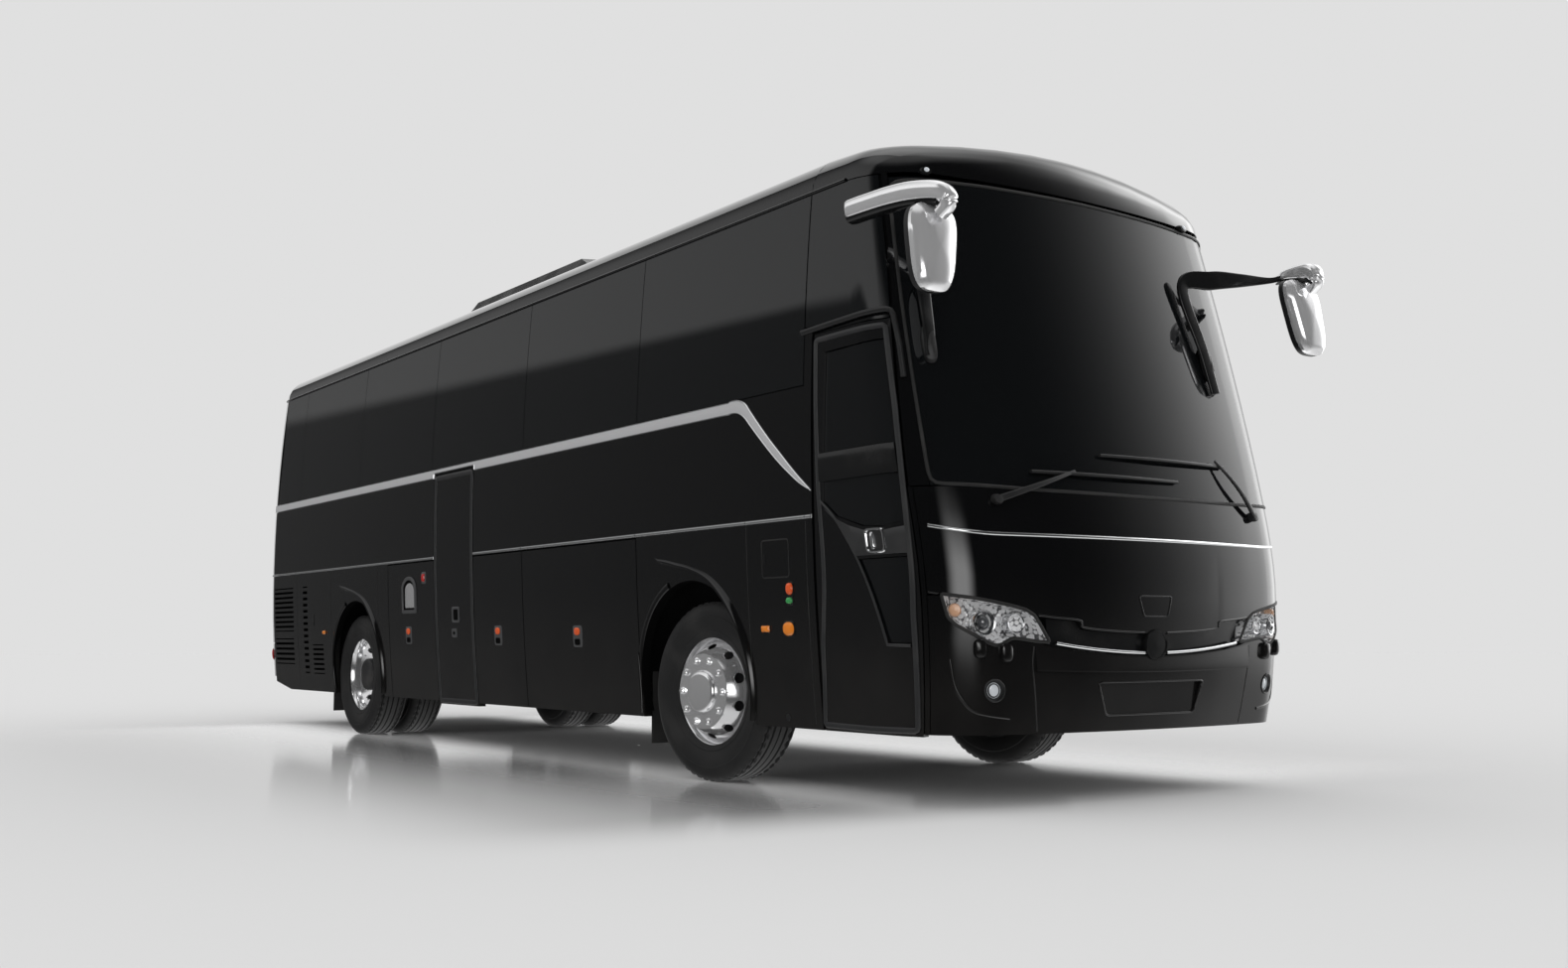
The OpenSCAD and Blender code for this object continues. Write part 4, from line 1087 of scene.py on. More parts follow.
    def rear_rim(self) -> list[tuple[str, Surface, Finish]]:
        """Dished rear wheel: barrel, holed cone going inwards, stud ring, nuts and a standing hub.

        Returns:
            Name, surface and finish of each piece.
        """
        plate = np.array([(0.205, -0.058), (0.2, -0.052), (0.135, -0.052), (0.13, -0.06), (0.2, -0.07)])
        hub = spline([(0.133, -0.06), (0.13, -0.02), (0.128, 0.04), (0.122, 0.062), (0.1, 0.07), (0.05, 0.072),
                      (0.0005, 0.072)], 28)
        cap = np.vstack([hub, [[0.0005, -0.06]]])
        rim = [self.barrel(), self.cone((0.272, 0.02), (0.2, -0.054), 0.027, 0.008), Surface.revolve(plate),
               self.nuts(0.1675, -0.052)]
        return [("rim", Surface.join(rim), ALLOY), ("hub", Surface.revolve(cap, 64), STEEL)]

    def build(self) -> None:
        """Place the wheels on their bodies and let them stand for the frame's."""
        tyre = self.tyre()
        for side in Side:
            sign, word, flip = side.value, side.name.lower(), side is Side.RIGHT
            turn = float(np.radians(self.steer))
            arm = sign * (self.front_y - self.kingpin_y)
            spot = (SHAPE.axle_x - arm * np.sin(turn), sign * self.kingpin_y + arm * np.cos(turn), self.axle_z)
            body = f"front_wheel_{word}"
            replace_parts(tyre.moved(spot, turn, flip).build(f"tyre_front_{word}", TYRE, body), f"front_tyre_{word}")
            for part, surface, finish in self.front_rim():
                made = surface.moved(spot, turn, flip).build(f"{part}_front_{word}", finish, body)
                if part == "rim":
                    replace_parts(made, f"front_rim_{word}")
            body = f"rear_wheels_{word}"
            outer = (SHAPE.axle_x + self.rear_x, sign * self.rear_y, self.axle_z)
            inner = (SHAPE.axle_x + self.rear_x, sign * (self.rear_y - self.twin), self.axle_z)
            pair = Surface.join([tyre.moved(outer, 0.0, flip), tyre.moved(inner, 0.0, flip)])
            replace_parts(pair.build(f"tyres_rear_{word}", TYRE, body), f"rear_tyres_{word}")
            for part, surface, finish in self.rear_rim():
                shown = [surface.moved(outer, 0.0, flip)]
                if part == "rim":
                    shown.append(self.barrel().moved(inner, 0.0, flip))
                made = Surface.join(shown).build(f"{part}_rear_{word}", finish, body)
                if part == "rim":
                    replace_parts(made, f"rear_rims_{word}")


@dataclass
class Headlamps:
    """Front lamps: shaped housings with projector, second reflector and indicator under one clear cover."""

    outline: tuple = ((0.811, 0.954), (0.768, 0.947), (0.697, 0.936), (0.622, 0.921), (0.552, 0.902), (0.505, 0.885),
                      (0.475, 0.859), (0.452, 0.806), (0.425, 0.74), (0.471, 0.744), (0.523, 0.755), (0.553, 0.76),
                      (0.571, 0.749), (0.591, 0.731), (0.618, 0.727), (0.65, 0.74), (0.686, 0.766), (0.721, 0.788),
                      (0.763, 0.818), (0.79, 0.849))
    projector: tuple = (0.654, 0.827, 0.057)
    second: tuple = (0.538, 0.823, 0.045)
    amber: tuple = (0.764, 0.882, 0.03)
    fog: tuple = (0.625, 0.528, 0.036)
    washers: tuple = ((0.681, 0.712), (0.582, 0.694))
    roof: tuple = ((-0.648, 2.975), (0.546, 2.961))

    def disc(self, spot: tuple, sign: float, steps: Steps, power: float = 2.0) -> Surface:
        """Round button on the front skin at (share, height, radius)."""
        middle = (sign * float(SHAPE.arc(spot[0])), spot[1])
        return boss(SHAPE.face, squircle(middle, (spot[2], spot[2]), power), steps)

    def build(self) -> None:
        """Make both headlamps, fog lamps, washers and the two small roof lamps."""
        for side in Side:
            sign, word = float(side.value), side.name.lower()
            shape = rounded(SHAPE.flat(self.outline, sign), 160, 0.012)
            bowl = boss(SHAPE.face, shape,
                        ((0.86, -0.075), (0.93, -0.05), (0.975, -0.012), (0.985, -0.004), (1.0, -0.004), (1.0, -0.084)))
            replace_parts(bowl.build(f"lamp_housing_{word}", HOUSING), "headlamps")
            ring: Steps = ((0.72, -0.06), (0.76, -0.02), (0.82, -0.008), (0.93, -0.006), (1.0, -0.014), (1.02, -0.07))
            rings = [self.disc(self.projector, sign, ring), self.disc(self.second, sign, ring)]
            Surface.join(rings).build(f"lamp_rings_{word}", CHROME)
            ball: Steps = ((0.6, -0.05), (0.58, -0.032), (0.5, -0.021), (0.35, -0.013), (0.2, -0.0095), (0.02, -0.008))
            cup: Steps = ((0.74, -0.055), (0.74, -0.03), (0.66, -0.034), (0.6, -0.04), (0.58, -0.055))
            self.disc(self.projector, sign, cup).build(f"lamp_cup_{word}", REFLECTOR)
            self.disc(self.projector, sign, ball).build(f"lamp_projector_{word}", PROJECTOR)
            dish: Steps = ((0.76, -0.055), (0.76, -0.018), (0.6, -0.034), (0.4, -0.044), (0.2, -0.05), (0.02, -0.052))
            self.disc(self.second, sign, dish).build(f"lamp_dish_{word}", REFLECTOR)
            self.disc(self.amber, sign, ((1.0, -0.06), (1.0, -0.02), (0.8, -0.012),
                                         (0.02, -0.008))).build(f"indicator_{word}", PALE_AMBER)
            cover = boss(SHAPE.face, shape,
                         ((0.99, -0.003), (0.996, 0.0), (0.99, 0.003), (0.6, 0.0045), (0.02, 0.0045)))
            cover.build(f"lamp_cover_{word}", COVER)
            lamp: Steps = ((1.0, -0.06), (1.0, -0.012), (0.9, -0.008), (0.86, -0.014), (0.5, -0.008), (0.02, -0.006))
            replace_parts(self.disc(self.fog, sign, lamp).build(f"fog_lamp_{word}", BULB), "fog_lamps")
            bezel: Steps = ((1.45, -0.01), (1.45, 0.003), (1.38, 0.005), (1.3, 0.002), (1.04, -0.014))
            self.disc(self.fog, sign, bezel).build(f"fog_bezel_{word}", PLASTIC)
            tab: Steps = ((1.0, -0.004), (1.0, 0.012), (0.9, 0.022), (0.6, 0.027), (0.02, 0.028))
            tabs = [boss(SHAPE.face, squircle((sign * float(SHAPE.arc(u)), z), (0.027, 0.042), 3.0), tab)
                    for u, z in self.washers]
            Surface.join(tabs).build(f"washer_covers_{word}", PAINT)
            line(SHAPE.face, shape, bead(0.016, 0.005), closed=True).build(f"lamp_seal_{word}", RUBBER)
        caps = [boss(SHAPE.face, squircle((float(SHAPE.arc(u)), z), (0.03, 0.02), 2.4),
                     ((1.0, -0.004), (1.0, 0.012), (0.8, 0.022), (0.02, 0.025)))
                for u, z in self.roof]
        Surface.join(caps).build("roof_front_lamps", SMOOTH_PLASTIC)
        bulge: Steps = ((1.0, 0.01), (1.0, 0.026), (0.6, 0.03), (0.02, 0.031))
        eyes = [self.disc((u, z + 0.004, 0.012), 1.0, bulge) for u, z in self.roof]
        Surface.join(eyes).build("roof_front_lenses", BULB)


@dataclass
class Mirrors:
    """Horn mirrors: pad on the screen edge, black arm, bright cap over a black underside, hanging head with glass."""

    cap: tuple = ((2.112, 1.297, 2.6), (2.152, 1.29, 2.632), (2.15, 1.286, 2.668), (2.1, 1.298, 2.702),
                  (1.97, 1.33, 2.722), (1.85, 1.362, 2.722), (1.74, 1.39, 2.714), (1.64, 1.416, 2.704),
                  (1.63, 1.4185, 2.703))
    cap_size: tuple = (0.62, 0.66, 0.78, 0.94, 1.02, 1.02, 1.0, 0.98, 0.8)
    head: tuple = (2.075, 1.303, 2.46)
    half: tuple = (0.05, 0.124, 0.203)
    left_tail: tuple = ((1.93, 1.341, 2.724), (1.84, 1.364, 2.722))
    left_tail_size: tuple = (0.6, 0.12)
    tail_from: int = 4
    under: tuple[int, int] = (22, 63)
    under_drop: tuple = (0.0, 0.0, -0.031)
    right_foot: tuple = ((0.716, 2.04), (0.72, 2.4))
    left_foot: tuple = ((0.472, 2.02), (0.412, 2.59))
    stem: tuple = (1.88, 1.25, 2.69)
    arm_end: tuple = (1.9, 1.33, 2.71)
    arm_width: tuple = (0.62, 0.66, 0.8, 1.0, 0.72, 0.34, 0.3)
    pad_steps: tuple = ((1.0, -0.004), (1.0, 0.01), (0.85, 0.03), (0.4, 0.042), (0.02, 0.044))

    def build(self) -> None:
        """Make both mirrors in place of the frame's."""
        for side in Side:
            sign, word = float(side.value), side.name.lower()
            fix, move = np.array([1.0, sign, 1.0]), np.array([SHAPE.axle_x, 0.0, 0.0])
            cap, sizes, foot = self.cap, self.cap_size, self.right_foot
            if side is Side.LEFT:
                cap = cap[:self.tail_from] + self.left_tail
                sizes, foot = sizes[:self.tail_from] + self.left_tail_size, self.left_foot
            path = spline(cap, 64) * fix + move
            size = spline([(s, 0.0) for s in sizes], 64)[:, 0]
            shell = Surface.sweep(path, squircle((0.0, 0.0), (0.05, 0.05), 3.0, 32), (0, 0, 1), size)
            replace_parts(shell.build(f"mirror_cap_{word}", SHELL), f"mirror_{word}")
            some = slice(*self.under)
            section = squircle((0.0, 0.0), (0.042, 0.03), 3.0, 24)
            below = Surface.sweep(path[some] + np.array(self.under_drop), section, (0, 0, 1), size[some])
            below.build(f"mirror_under_{word}", SMOOTH_PLASTIC)
            self.make_arm(foot, fix, move, word)
            self.make_head(fix, move, word)

    def make_arm(self, foot: tuple, fix: Array, move: Array, word: str) -> None:
        """Arm: a flat strap swept up the screen's edge and over to the cap, with a pad at its foot.

        Args:
            foot: Low and high point on the front skin, as share and height.
            fix: Signs of the side.
            move: Shift to the row frame.
            word: Word for the side in names.
        """
        low, high = (SHAPE.front(fix[1] * u, z, 0.02) for u, z in foot)
        stem, end = (np.array(spot) * fix + move for spot in (self.stem, self.arm_end))
        reach = [low, low * 0.6 + high * 0.4 + [0.014, 0, 0], high + [0.022, 0, 0],
                 high * 0.7 + stem * 0.3 + [0.03, 0, 0.02],
                 high * 0.35 + stem * 0.65 + [0.02, 0, 0.01], stem, end]
        width = spline([(w, 0.0) for w in self.arm_width], 72)[:, 0]
        strap = squircle((0.0, 0.0), (0.05, 0.015), 4.0, 24)
        Surface.sweep(spline(reach, 72), strap, (1, 0, 0), width).build(f"mirror_arm_{word}", SMOOTH_PLASTIC)
        middle = np.array([SHAPE.arc(fix[1] * foot[0][0]), (foot[0][1] + foot[1][1]) / 2 - 0.12])
        boss(SHAPE.face, squircle(middle, (0.034, 0.09), 3.0), self.pad_steps).build(f"mirror_pad_{word}", PLASTIC)

    def make_head(self, fix: Array, move: Array, word: str) -> None:
        """Head: point = centre + half size * superellipsoid, leaning out towards its foot; the glass faces the rear.

        Args:
            fix: Signs of the side.
            move: Shift to the row frame.
            word: Word for the side in names.
        """
        a = np.linspace(0.0, 2 * np.pi, 64, endpoint=False)[None, :]
        ring = np.linspace(0.02, 1.0, 9)[:, None]
        flat = np.sign(np.cos(a)) * np.abs(np.cos(a)) ** 0.55, np.sign(np.sin(a)) * np.abs(np.sin(a)) ** 0.55

        def plate(share: Any, depth: Any) -> Array:
            """Rings of the head.

            Args:
                share: Share of the outline's size.
                depth: Depth along X.

            Returns:
                The points, ring by ring.
            """
            z = share * flat[1] * self.half[2]
            y = share * flat[0] * self.half[1] * (1.0 + 0.16 * z / self.half[2])
            x = np.broadcast_to(depth, y.shape) - 0.13 * z
            return np.stack([self.head[0] + x, self.head[1] + y - 0.1 * z, self.head[2] + z], axis=-1) * fix + move
        bulge = self.half[0] * np.sqrt(np.maximum(1.0 - ring**2, 0.0))
        front = plate(ring, bulge)
        rim = plate(np.array([[1.0], [0.985], [0.94]]), np.array([[-0.03], [-0.044], [-0.046]]))
        Surface.grid(np.concatenate([front, rim]), wrap_cols=True, caps=True).build(f"mirror_head_{word}", SHELL)
        frame = plate(np.array([[1.004], [1.006], [0.99], [0.93], [0.925]]),
                      np.array([[-0.02], [-0.046], [-0.051], [-0.049], [-0.044]]))
        frame = np.concatenate([frame, plate(np.array([[0.3]]), np.array([[-0.03]]))])
        Surface.grid(frame, wrap_cols=True, caps=True).build(f"mirror_frame_{word}", PLASTIC)
        glass = plate(np.array([[0.925], [0.92], [0.5], [0.02]]), np.array([[-0.04], [-0.048], [-0.0485], [-0.049]]))
        Surface.grid(glass, wrap_cols=True, caps=True).build(f"mirror_glass_{word}", MIRROR)


@dataclass
class Wipers:
    """Two wipers parked along the foot of the screen, each an arm, a blade carrier and a rubber."""

    right: tuple = ((-0.562, 1.379), (-0.273, 1.53), (-0.43, 1.517), (0.162, 1.518))
    left: tuple = ((0.546, 1.377), (0.373, 1.649), (-0.159, 1.618), (0.42, 1.623))

    def build(self) -> None:
        """Make both wipers in place of the frame's."""
        arms, blades = [], []
        for pivot, elbow, start, end in (self.right, self.left):
            t = np.linspace(0.0, 1.0, 24)
            run = np.stack([pivot[0] + (elbow[0] - pivot[0]) * t, pivot[1] + (elbow[1] - pivot[1]) * t], axis=1)
            path = SHAPE.front(run[:, 0], run[:, 1], 0.022 + 0.02 * np.sin(np.pi * t))
            arms.append(Surface.sweep(path, squircle((0, 0), (0.012, 0.007), 3.0, 16), (1, 0, 0.2), 1.35 - 0.7 * t))
            arms.append(boss(SHAPE.face, squircle((float(SHAPE.arc(pivot[0])), pivot[1]), (0.024, 0.024), 2.0),
                             ((1.0, -0.002), (1.0, 0.02), (0.8, 0.034), (0.02, 0.037))))
            across = np.stack([start[0] + (end[0] - start[0]) * t, start[1] + (end[1] - start[1]) * t], axis=1)
            carrier = SHAPE.front(across[:, 0], across[:, 1], 0.016 + 0.014 * np.sin(np.pi * t))
            arms.append(Surface.sweep(carrier, squircle((0, 0), (0.008, 0.006), 3.0, 12), (1, 0, 0.2)))
            rubber = SHAPE.front(across[:, 0], across[:, 1], 0.008)
            blades.append(Surface.sweep(rubber, squircle((0, 0), (0.006, 0.008), 3.0, 12), (1, 0, 0.2)))
        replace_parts(Surface.join(arms).build("wiper_arms", PLASTIC), "wipers")
        Surface.join(blades).build("wiper_rubbers", RUBBER)


@dataclass
class FrontFace:
    """Trim of the front: chrome line, grille lip, bare badge places, plate frame, screen gasket, creases and seams."""

    chrome_z: float = 1.223
    lip: tuple[float, float] = (0.05, 0.403)
    slot: tuple = ((0.05, 0.784), (0.189, 0.792), (0.296, 0.806), (0.306, 0.822), (0.316, 0.84), (0.415, 0.853),
                   (0.462, 0.861))
    recess: tuple = ((0.79, 0.665), (0.775, 0.553), (0.745, 0.484), (0.71, 0.44), (0.65, 0.42), (0.57, 0.405))
    seam: tuple = ((0.482, 0.722), (0.487, 0.638), (0.479, 0.505), (0.469, 0.34))
    hood: tuple = ((0.858, 0.962), (0.84, 0.958), (0.82, 0.955))
    badge: tuple[float, float] = (0.7275, 0.0725)
    badge_steps: tuple = ((1.0, -0.03), (1.0, 0.006), (0.96, 0.012), (0.9, 0.012), (0.86, 0.006), (0.02, 0.008))
    screen: tuple = ((-1.118, 1.47), (-1.09, 1.446), (-0.6, 1.433), (0.0, 1.431), (0.6, 1.433), (1.09, 1.446),
                     (1.118, 1.47), (1.118, 2.1), (1.118, 2.89), (1.09, 2.925), (0.6, 2.942), (0.0, 2.947),
                     (-0.6, 2.942), (-1.09, 2.925), (-1.118, 2.89), (-1.118, 2.1))
    plate: tuple = ((-0.35, 0.556), (0.35, 0.556), (0.298, 0.404), (-0.298, 0.404))
    nose_badge: tuple = ((-0.105, 0.955), (0.105, 0.955), (0.078, 0.86), (-0.078, 0.86))

    def build(self) -> None:
        """Make the trims on the front skin."""
        u = np.linspace(-0.828, 0.828, 96)
        z = self.chrome_z + 0.037 * (np.maximum(np.abs(u) - 0.55, 0.0) / 0.28) ** 2
        line(SHAPE.face, np.stack([SHAPE.arc(u), z], axis=1), bead(0.017, 0.008)).build("nose_line", CHROME)
        lips = []
        for sign in (-1.0, 1.0):
            s = np.linspace(*self.lip, 32) * sign
            lips.append(line(SHAPE.face, np.stack([SHAPE.arc(s), 0.69 + 0.28 * s * s], axis=1), bead(0.016, 0.009)))
        Surface.join(lips).build("grille_lip", CHROME)
        badge = squircle((0.0, self.badge[0]), (self.badge[1], self.badge[1]), 2.0, 64)
        boss(SHAPE.face, badge, self.badge_steps).build("badge_place", SMOOTH_PLASTIC)
        frames = (("screen_gasket", RUBBER, rounded(self.screen, 240, 0.06), bead(0.018, 0.006)),
                  ("plate_frame", PAINT, rounded(self.plate, 120, 0.02), bead(0.01, 0.005)),
                  ("nose_badge_frame", SMOOTH_PLASTIC, rounded(self.nose_badge, 80, 0.014), bead(0.008, 0.004)))
        for name, finish, outline, section in frames:
            line(SHAPE.face, outline, section, closed=True).build(name, finish)
        for side in Side:
            self.creases(side)

    def creases(self, side: Side) -> None:
        """Bumper ledge and seam, edges of slot and fog recess, and the hood seam, of one side.

        Args:
            side: Side of the coach.
        """
        sign, word = float(side.value), side.name.lower()
        recess = line(SHAPE.face, spline(SHAPE.flat(self.recess, sign), 48), bead(0.016, 0.005))
        recess.build(f"fog_recess_edge_{word}", PAINT)
        line(SHAPE.face, spline(SHAPE.flat(self.slot, sign), 40), bead(0.01, 0.005)).build(f"slot_edge_{word}", PAINT)
        u = np.linspace(0.0, 0.478, 40)
        low = SHAPE.flat(np.stack([u, 0.6 + 0.05 * u**2], axis=1), sign)
        high = SHAPE.flat(np.stack([u, 0.668 + 0.27 * u**2], axis=1), sign)
        wedge = np.array([(0.0, -0.002), (0.0, 0.013), (0.1, 0.0145), (1.0, 0.001), (1.0, -0.002)])
        band(SHAPE.face, low, high, wedge).build(f"bumper_ledge_{word}", PAINT)
        seams = [line(SHAPE.face, spline(SHAPE.flat(run, sign), 24), bead(0.008, 0.002))
                 for run in (self.seam, self.hood)]
        Surface.join(seams).build(f"front_seams_{word}", RUBBER)


@dataclass
class DoorDress:
    """Front door: edge, cross rail, handle band and bright handle on the leaf, drip trim and jamb seal on the body."""

    edge: tuple = ((-1.345, 2.205), (-1.1, 2.207), (-0.872, 2.205), (-0.882, 1.808), (-0.912, 1.259), (-0.924, 0.861),
                   (-0.912, 0.347), (-1.2, 0.342), (-1.56, 0.347), (-1.572, 0.728), (-1.495, 1.441), (-1.41, 1.9))
    rail: tuple = (((-0.912, 1.508), (-1.2, 1.508), (-1.476, 1.508)), ((-0.91, 1.645), (-1.2, 1.645), (-1.456, 1.645)))
    hold: tuple = (((-0.925, 1.14), (-1.1, 1.14), (-1.268, 1.14), (-1.33, 1.232), (-1.395, 1.318), (-1.455, 1.37)),
                   ((-0.92, 1.262), (-1.042, 1.25), (-1.193, 1.259), (-1.3, 1.287), (-1.386, 1.324), (-1.46, 1.378)))
    curve: tuple = ((-1.488, 1.415), (-1.407, 1.34), (-1.337, 1.243), (-1.27, 1.135), (-1.202, 1.001), (-1.139, 0.864),
                    (-1.083, 0.729), (-0.94, 0.725))
    drip: tuple = ((-1.45, 2.262), (-1.1, 2.274), (-0.862, 2.282), (-0.842, 2.274), (-0.834, 2.25), (-0.826, 2.103),
                   (-0.828, 1.946))
    handle: tuple = (1.479, 1.2045)
    jamb: tuple = ((1.1, 0.345), (1.1, 2.2))
    strip: tuple = ((-0.04, -0.068), (-0.04, -0.062), (0.04, -0.062), (0.04, -0.068))

    def build(self) -> None:
        """Make the leaf's trims, the drip trim and the seal behind the leaf's rear edge."""
        door = "front_door"
        line(SHAPE.face, rounded(SHAPE.flat(self.edge), 320, 0.02), bead(0.03, 0.007),
             closed=True).build("door_edge", GREY_PLASTIC, door)
        pad = np.array([(0.0, -0.003), (0.0, 0.002), (0.04, 0.0045), (0.35, 0.005), (0.65, 0.005), (0.96, 0.0045),
                        (1.0, 0.002), (1.0, -0.003)])
        for name, edges, finish in (("door_rail", self.rail, SMOOTH_PLASTIC),
                                    ("door_handle_band", self.hold, GREY_PLASTIC)):
            low, high = (even(SHAPE.flat(edge), 64) for edge in edges)
            band(SHAPE.face, low, high, pad).build(name, finish, door)
        bend = SHAPE.flat(self.curve)
        line(SHAPE.face, np.vstack([spline(bend[:-1], 60), even(bend[-2:], 12)[1:]]),
             bead(0.014, 0.005)).build("door_curve", GREY_PLASTIC, door)
        line(SHAPE.face, even(SHAPE.flat(self.drip), 90), bead(0.03, 0.014)).build("door_drip_trim", PLASTIC)
        line(SHAPE.flank(Side.RIGHT), even(self.jamb, 60), np.array(self.strip)).build("door_jamb_seal", RUBBER)
        spot = (-self.handle[0], self.handle[1])
        plate: Steps = ((1.0, -0.002), (1.0, 0.007), (0.94, 0.011), (0.84, 0.011), (0.78, 0.004), (0.02, 0.003))
        boss(SHAPE.face, squircle(spot, (0.072, 0.058), 6.0, 64), plate).build("door_handle_plate", CHROME, door)
        well: Steps = ((0.78, 0.002), (0.77, 0.0055), (0.02, 0.0055))
        boss(SHAPE.face, squircle(spot, (0.072, 0.058), 6.0, 64), well).build("door_handle_well", PLASTIC, door)
        lever: Steps = ((1.0, 0.003), (1.0, 0.013), (0.8, 0.018), (0.02, 0.019))
        grip = squircle((spot[0] - 0.012, spot[1]), (0.014, 0.04), 4.0)
        boss(SHAPE.face, grip, lever).build("door_handle_lever", CHROME, door)


@dataclass
class SideFittings:
    """Locks, filler cap, lamps, markers, seams, gutter and wheel-arch flares of both sides."""

    locks: tuple = (("right_flap_1", -1.372, 0.776), ("right_flap_2", -2.505, 0.785), ("right_flap_3", -4.077, 0.791),
                    ("left_flap_1", -1.372, 0.776), ("left_flap_2", -2.7, 0.785), ("left_flap_3", -4.077, 0.791))
    seams: tuple = ((0.51, 0.345, 1.33), (1.03, 0.345, 1.33), (-4.704, 0.9, 1.33), (-5.785, 0.345, 1.33),
                    (-6.67, 0.345, 1.33))
    service: tuple = ((0.646, 1.25), (0.879, 1.25), (0.879, 1.062), (0.646, 1.062))
    lamps: tuple = (("lamp_orange", 0.883, 1.003, 0.026, 0.03), ("lamp_green", 0.879, 0.945, 0.024, 0.017),
                    ("lamp_amber_flat", 0.66, 0.807, 0.034, 0.017), ("lamp_amber_round", 0.859, 0.806, 0.045, 0.034),
                    ("marker_rear", -5.959, 0.822, 0.034, 0.017), ("marker_corner", -7.45, 0.63, 0.03, 0.05))
    grilles: tuple = ((-7.3, -6.775, 0.835, 1.224, 9), (-7.3, -6.785, 0.544, 0.774, 5),
                      (-6.507, -6.392, 0.471, 1.225, 14), (-6.277, -6.007, 0.469, 0.721, 6))
    arches: tuple = (0.0, -5.152)
    arch_mid: tuple[float, float] = (-0.054, 0.508)
    edge_r: tuple[float, float] = (0.563, 0.605)
    flap_line: tuple[float, float] = (0.568, 0.578)
    wall: float = 0.05
    flare: tuple = ((117.0, 0.79, 0.0), (113.8, 0.757, 0.0), (102.0, 0.683, 0.004), (89.0, 0.641, 0.008),
                    (80.0, 0.627, 0.011), (70.7, 0.619, 0.014), (60.8, 0.609, 0.018), (49.9, 0.6, 0.022),
                    (40.0, 0.593, 0.024), (28.6, 0.587, 0.025), (15.0, 0.582, 0.025), (1.5, 0.58, 0.024),
                    (-17.0, 0.58, 0.022))
    gutter: tuple = (-7.3, 1.3, 2.972)
    leaf: tuple = ((-3.547, 1.925), (-2.913, 1.925), (-2.913, 0.325), (-3.547, 0.325))
    filler_at: tuple[float, float] = (-4.046, 1.092)
    filler_half: float = 0.138
    dome: tuple = ((1.0, -0.002), (1.0, 0.006), (0.85, 0.013), (0.5, 0.017), (0.02, 0.018))
    pull: tuple = ((1.0, -0.002), (1.0, 0.006), (0.9, 0.009), (0.75, 0.008), (0.68, 0.003), (0.02, 0.002))
    key: tuple = ((1.0, 0.002), (1.0, 0.007), (0.8, 0.0085), (0.02, 0.0085))
    flare_in: tuple = (0.775, 0.73, 0.655, 0.619, 0.604, 0.588, 0.572, 0.564, 0.563, 0.563, 0.563, 0.563, 0.563)

    def arch(self, side: Side, shift: float) -> Surface:
        """Flare over one arch: edges are radii about the arch's middle by angle, and its lip stands out ever further
        towards the front, out = lip * (1 - t)^1.3 + 6 mm * sin(pi t) from the inner edge t = 0 to the outer t = 1.

        Args:
            side: Side of the coach.
            shift: X of the arch from the front one.

        Returns:
            The flare.
        """
        angle, outer, lip = spline(self.flare, 72).T
        inner = spline([(r, 0.0) for r in self.flare_in], 72)[:, 0]
        t = np.array([0.0, 0.0, 0.08, 0.2, 0.4, 0.6, 0.8, 1.0, 1.0])
        radius = inner[:, None] * (1 - t) + outer[:, None] * t
        out = lip[:, None] * (1 - t) ** 1.3 + 0.006 * np.sin(np.pi * t)
        out[:, 0], out[:, -1] = -0.03, -0.003
        a = np.radians(angle)[:, None]
        x, z = self.arch_mid[0] + shift + radius * np.cos(a), self.arch_mid[1] + radius * np.sin(a)
        return Surface.grid(SHAPE.flank(side)(x, z, out), wrap_cols=True, caps=True)

    def edge(self, side: Side, shift: float, turn: tuple[float, float], reach: tuple[float, float]) -> Surface:
        """Raised edge behind an arch: a bead between two radii about the arch's middle, cut off along upright lines
        beside a flap, where radius = distance / |cos(angle)|.

        Args:
            side: Side of the coach.
            shift: X of the arch from the front one.
            turn: First and last angle in degrees.
            reach: Least and greatest distance behind the arch's middle.

        Returns:
            The edge.
        """
        a = np.radians(np.linspace(*turn, 60))
        away = np.abs(np.cos(a))
        radii = np.maximum(self.edge_r[0], reach[0] / away), np.minimum(self.edge_r[1], reach[1] / away)
        middle = np.array(self.arch_mid) + (shift, 0.0)
        low, high = (middle + r[:, None] * np.stack([np.cos(a), np.sin(a)], axis=1) for r in radii)
        return band(SHAPE.flank(side), low, high, bead(1.0, 0.01) + (0.5, 0.0))

    def rim(self, side: Side, shift: float) -> Surface:
        """Matt lining of the arch's cut edge: a tube of 0.5615 m radius and 2 mm thick, as deep as the wall, but
        shallow at the back of the rear arch, where the tyres are near.

        Args:
            side: Side of the coach.
            shift: X of the arch from the front one.

        Returns:
            The lining.
        """
        angle = np.linspace(-16.0, 196.0, 96)[:, None]
        deep = np.interp(angle, (148.0, 158.0), (self.wall, 0.012 if shift else self.wall))
        r, face = np.array([(0.5625, 1.0), (0.5605, 1.0), (0.5605, 0.0), (0.5625, 0.0)]).T
        a = np.radians(angle)
        x, z = self.arch_mid[0] + shift + r * np.cos(a), self.arch_mid[1] + r * np.sin(a)
        return Surface.grid(SHAPE.flank(side)(x, z, 0.004 * face - deep * (1 - face)), wrap_cols=True, caps=True)

    def liner(self, side: Side, shift: float) -> Surface:
        """Arch liner: half of a tube of 0.6 m radius, 5 mm thick, from the chassis to 10 mm short of the wall.

        Args:
            side: Side of the coach.
            shift: X of the arch from the front one.

        Returns:
            The liner.
        """
        a = np.linspace(0.0, np.pi, 40)[:, None]
        r = np.array([0.6, 0.6, 0.605, 0.605])
        x, z = SHAPE.axle_x + self.arch_mid[0] + shift + r * np.cos(a), self.arch_mid[1] + r * np.sin(a)
        outer = np.array([0.0, 1.0, 1.0, 0.0])
        y = 0.55 * (1 - outer) + (SHAPE.wall_y(z) - self.wall - 0.01) * outer
        return Surface.grid(np.stack([x, y * side.value, z], axis=-1), wrap_cols=True, caps=True)

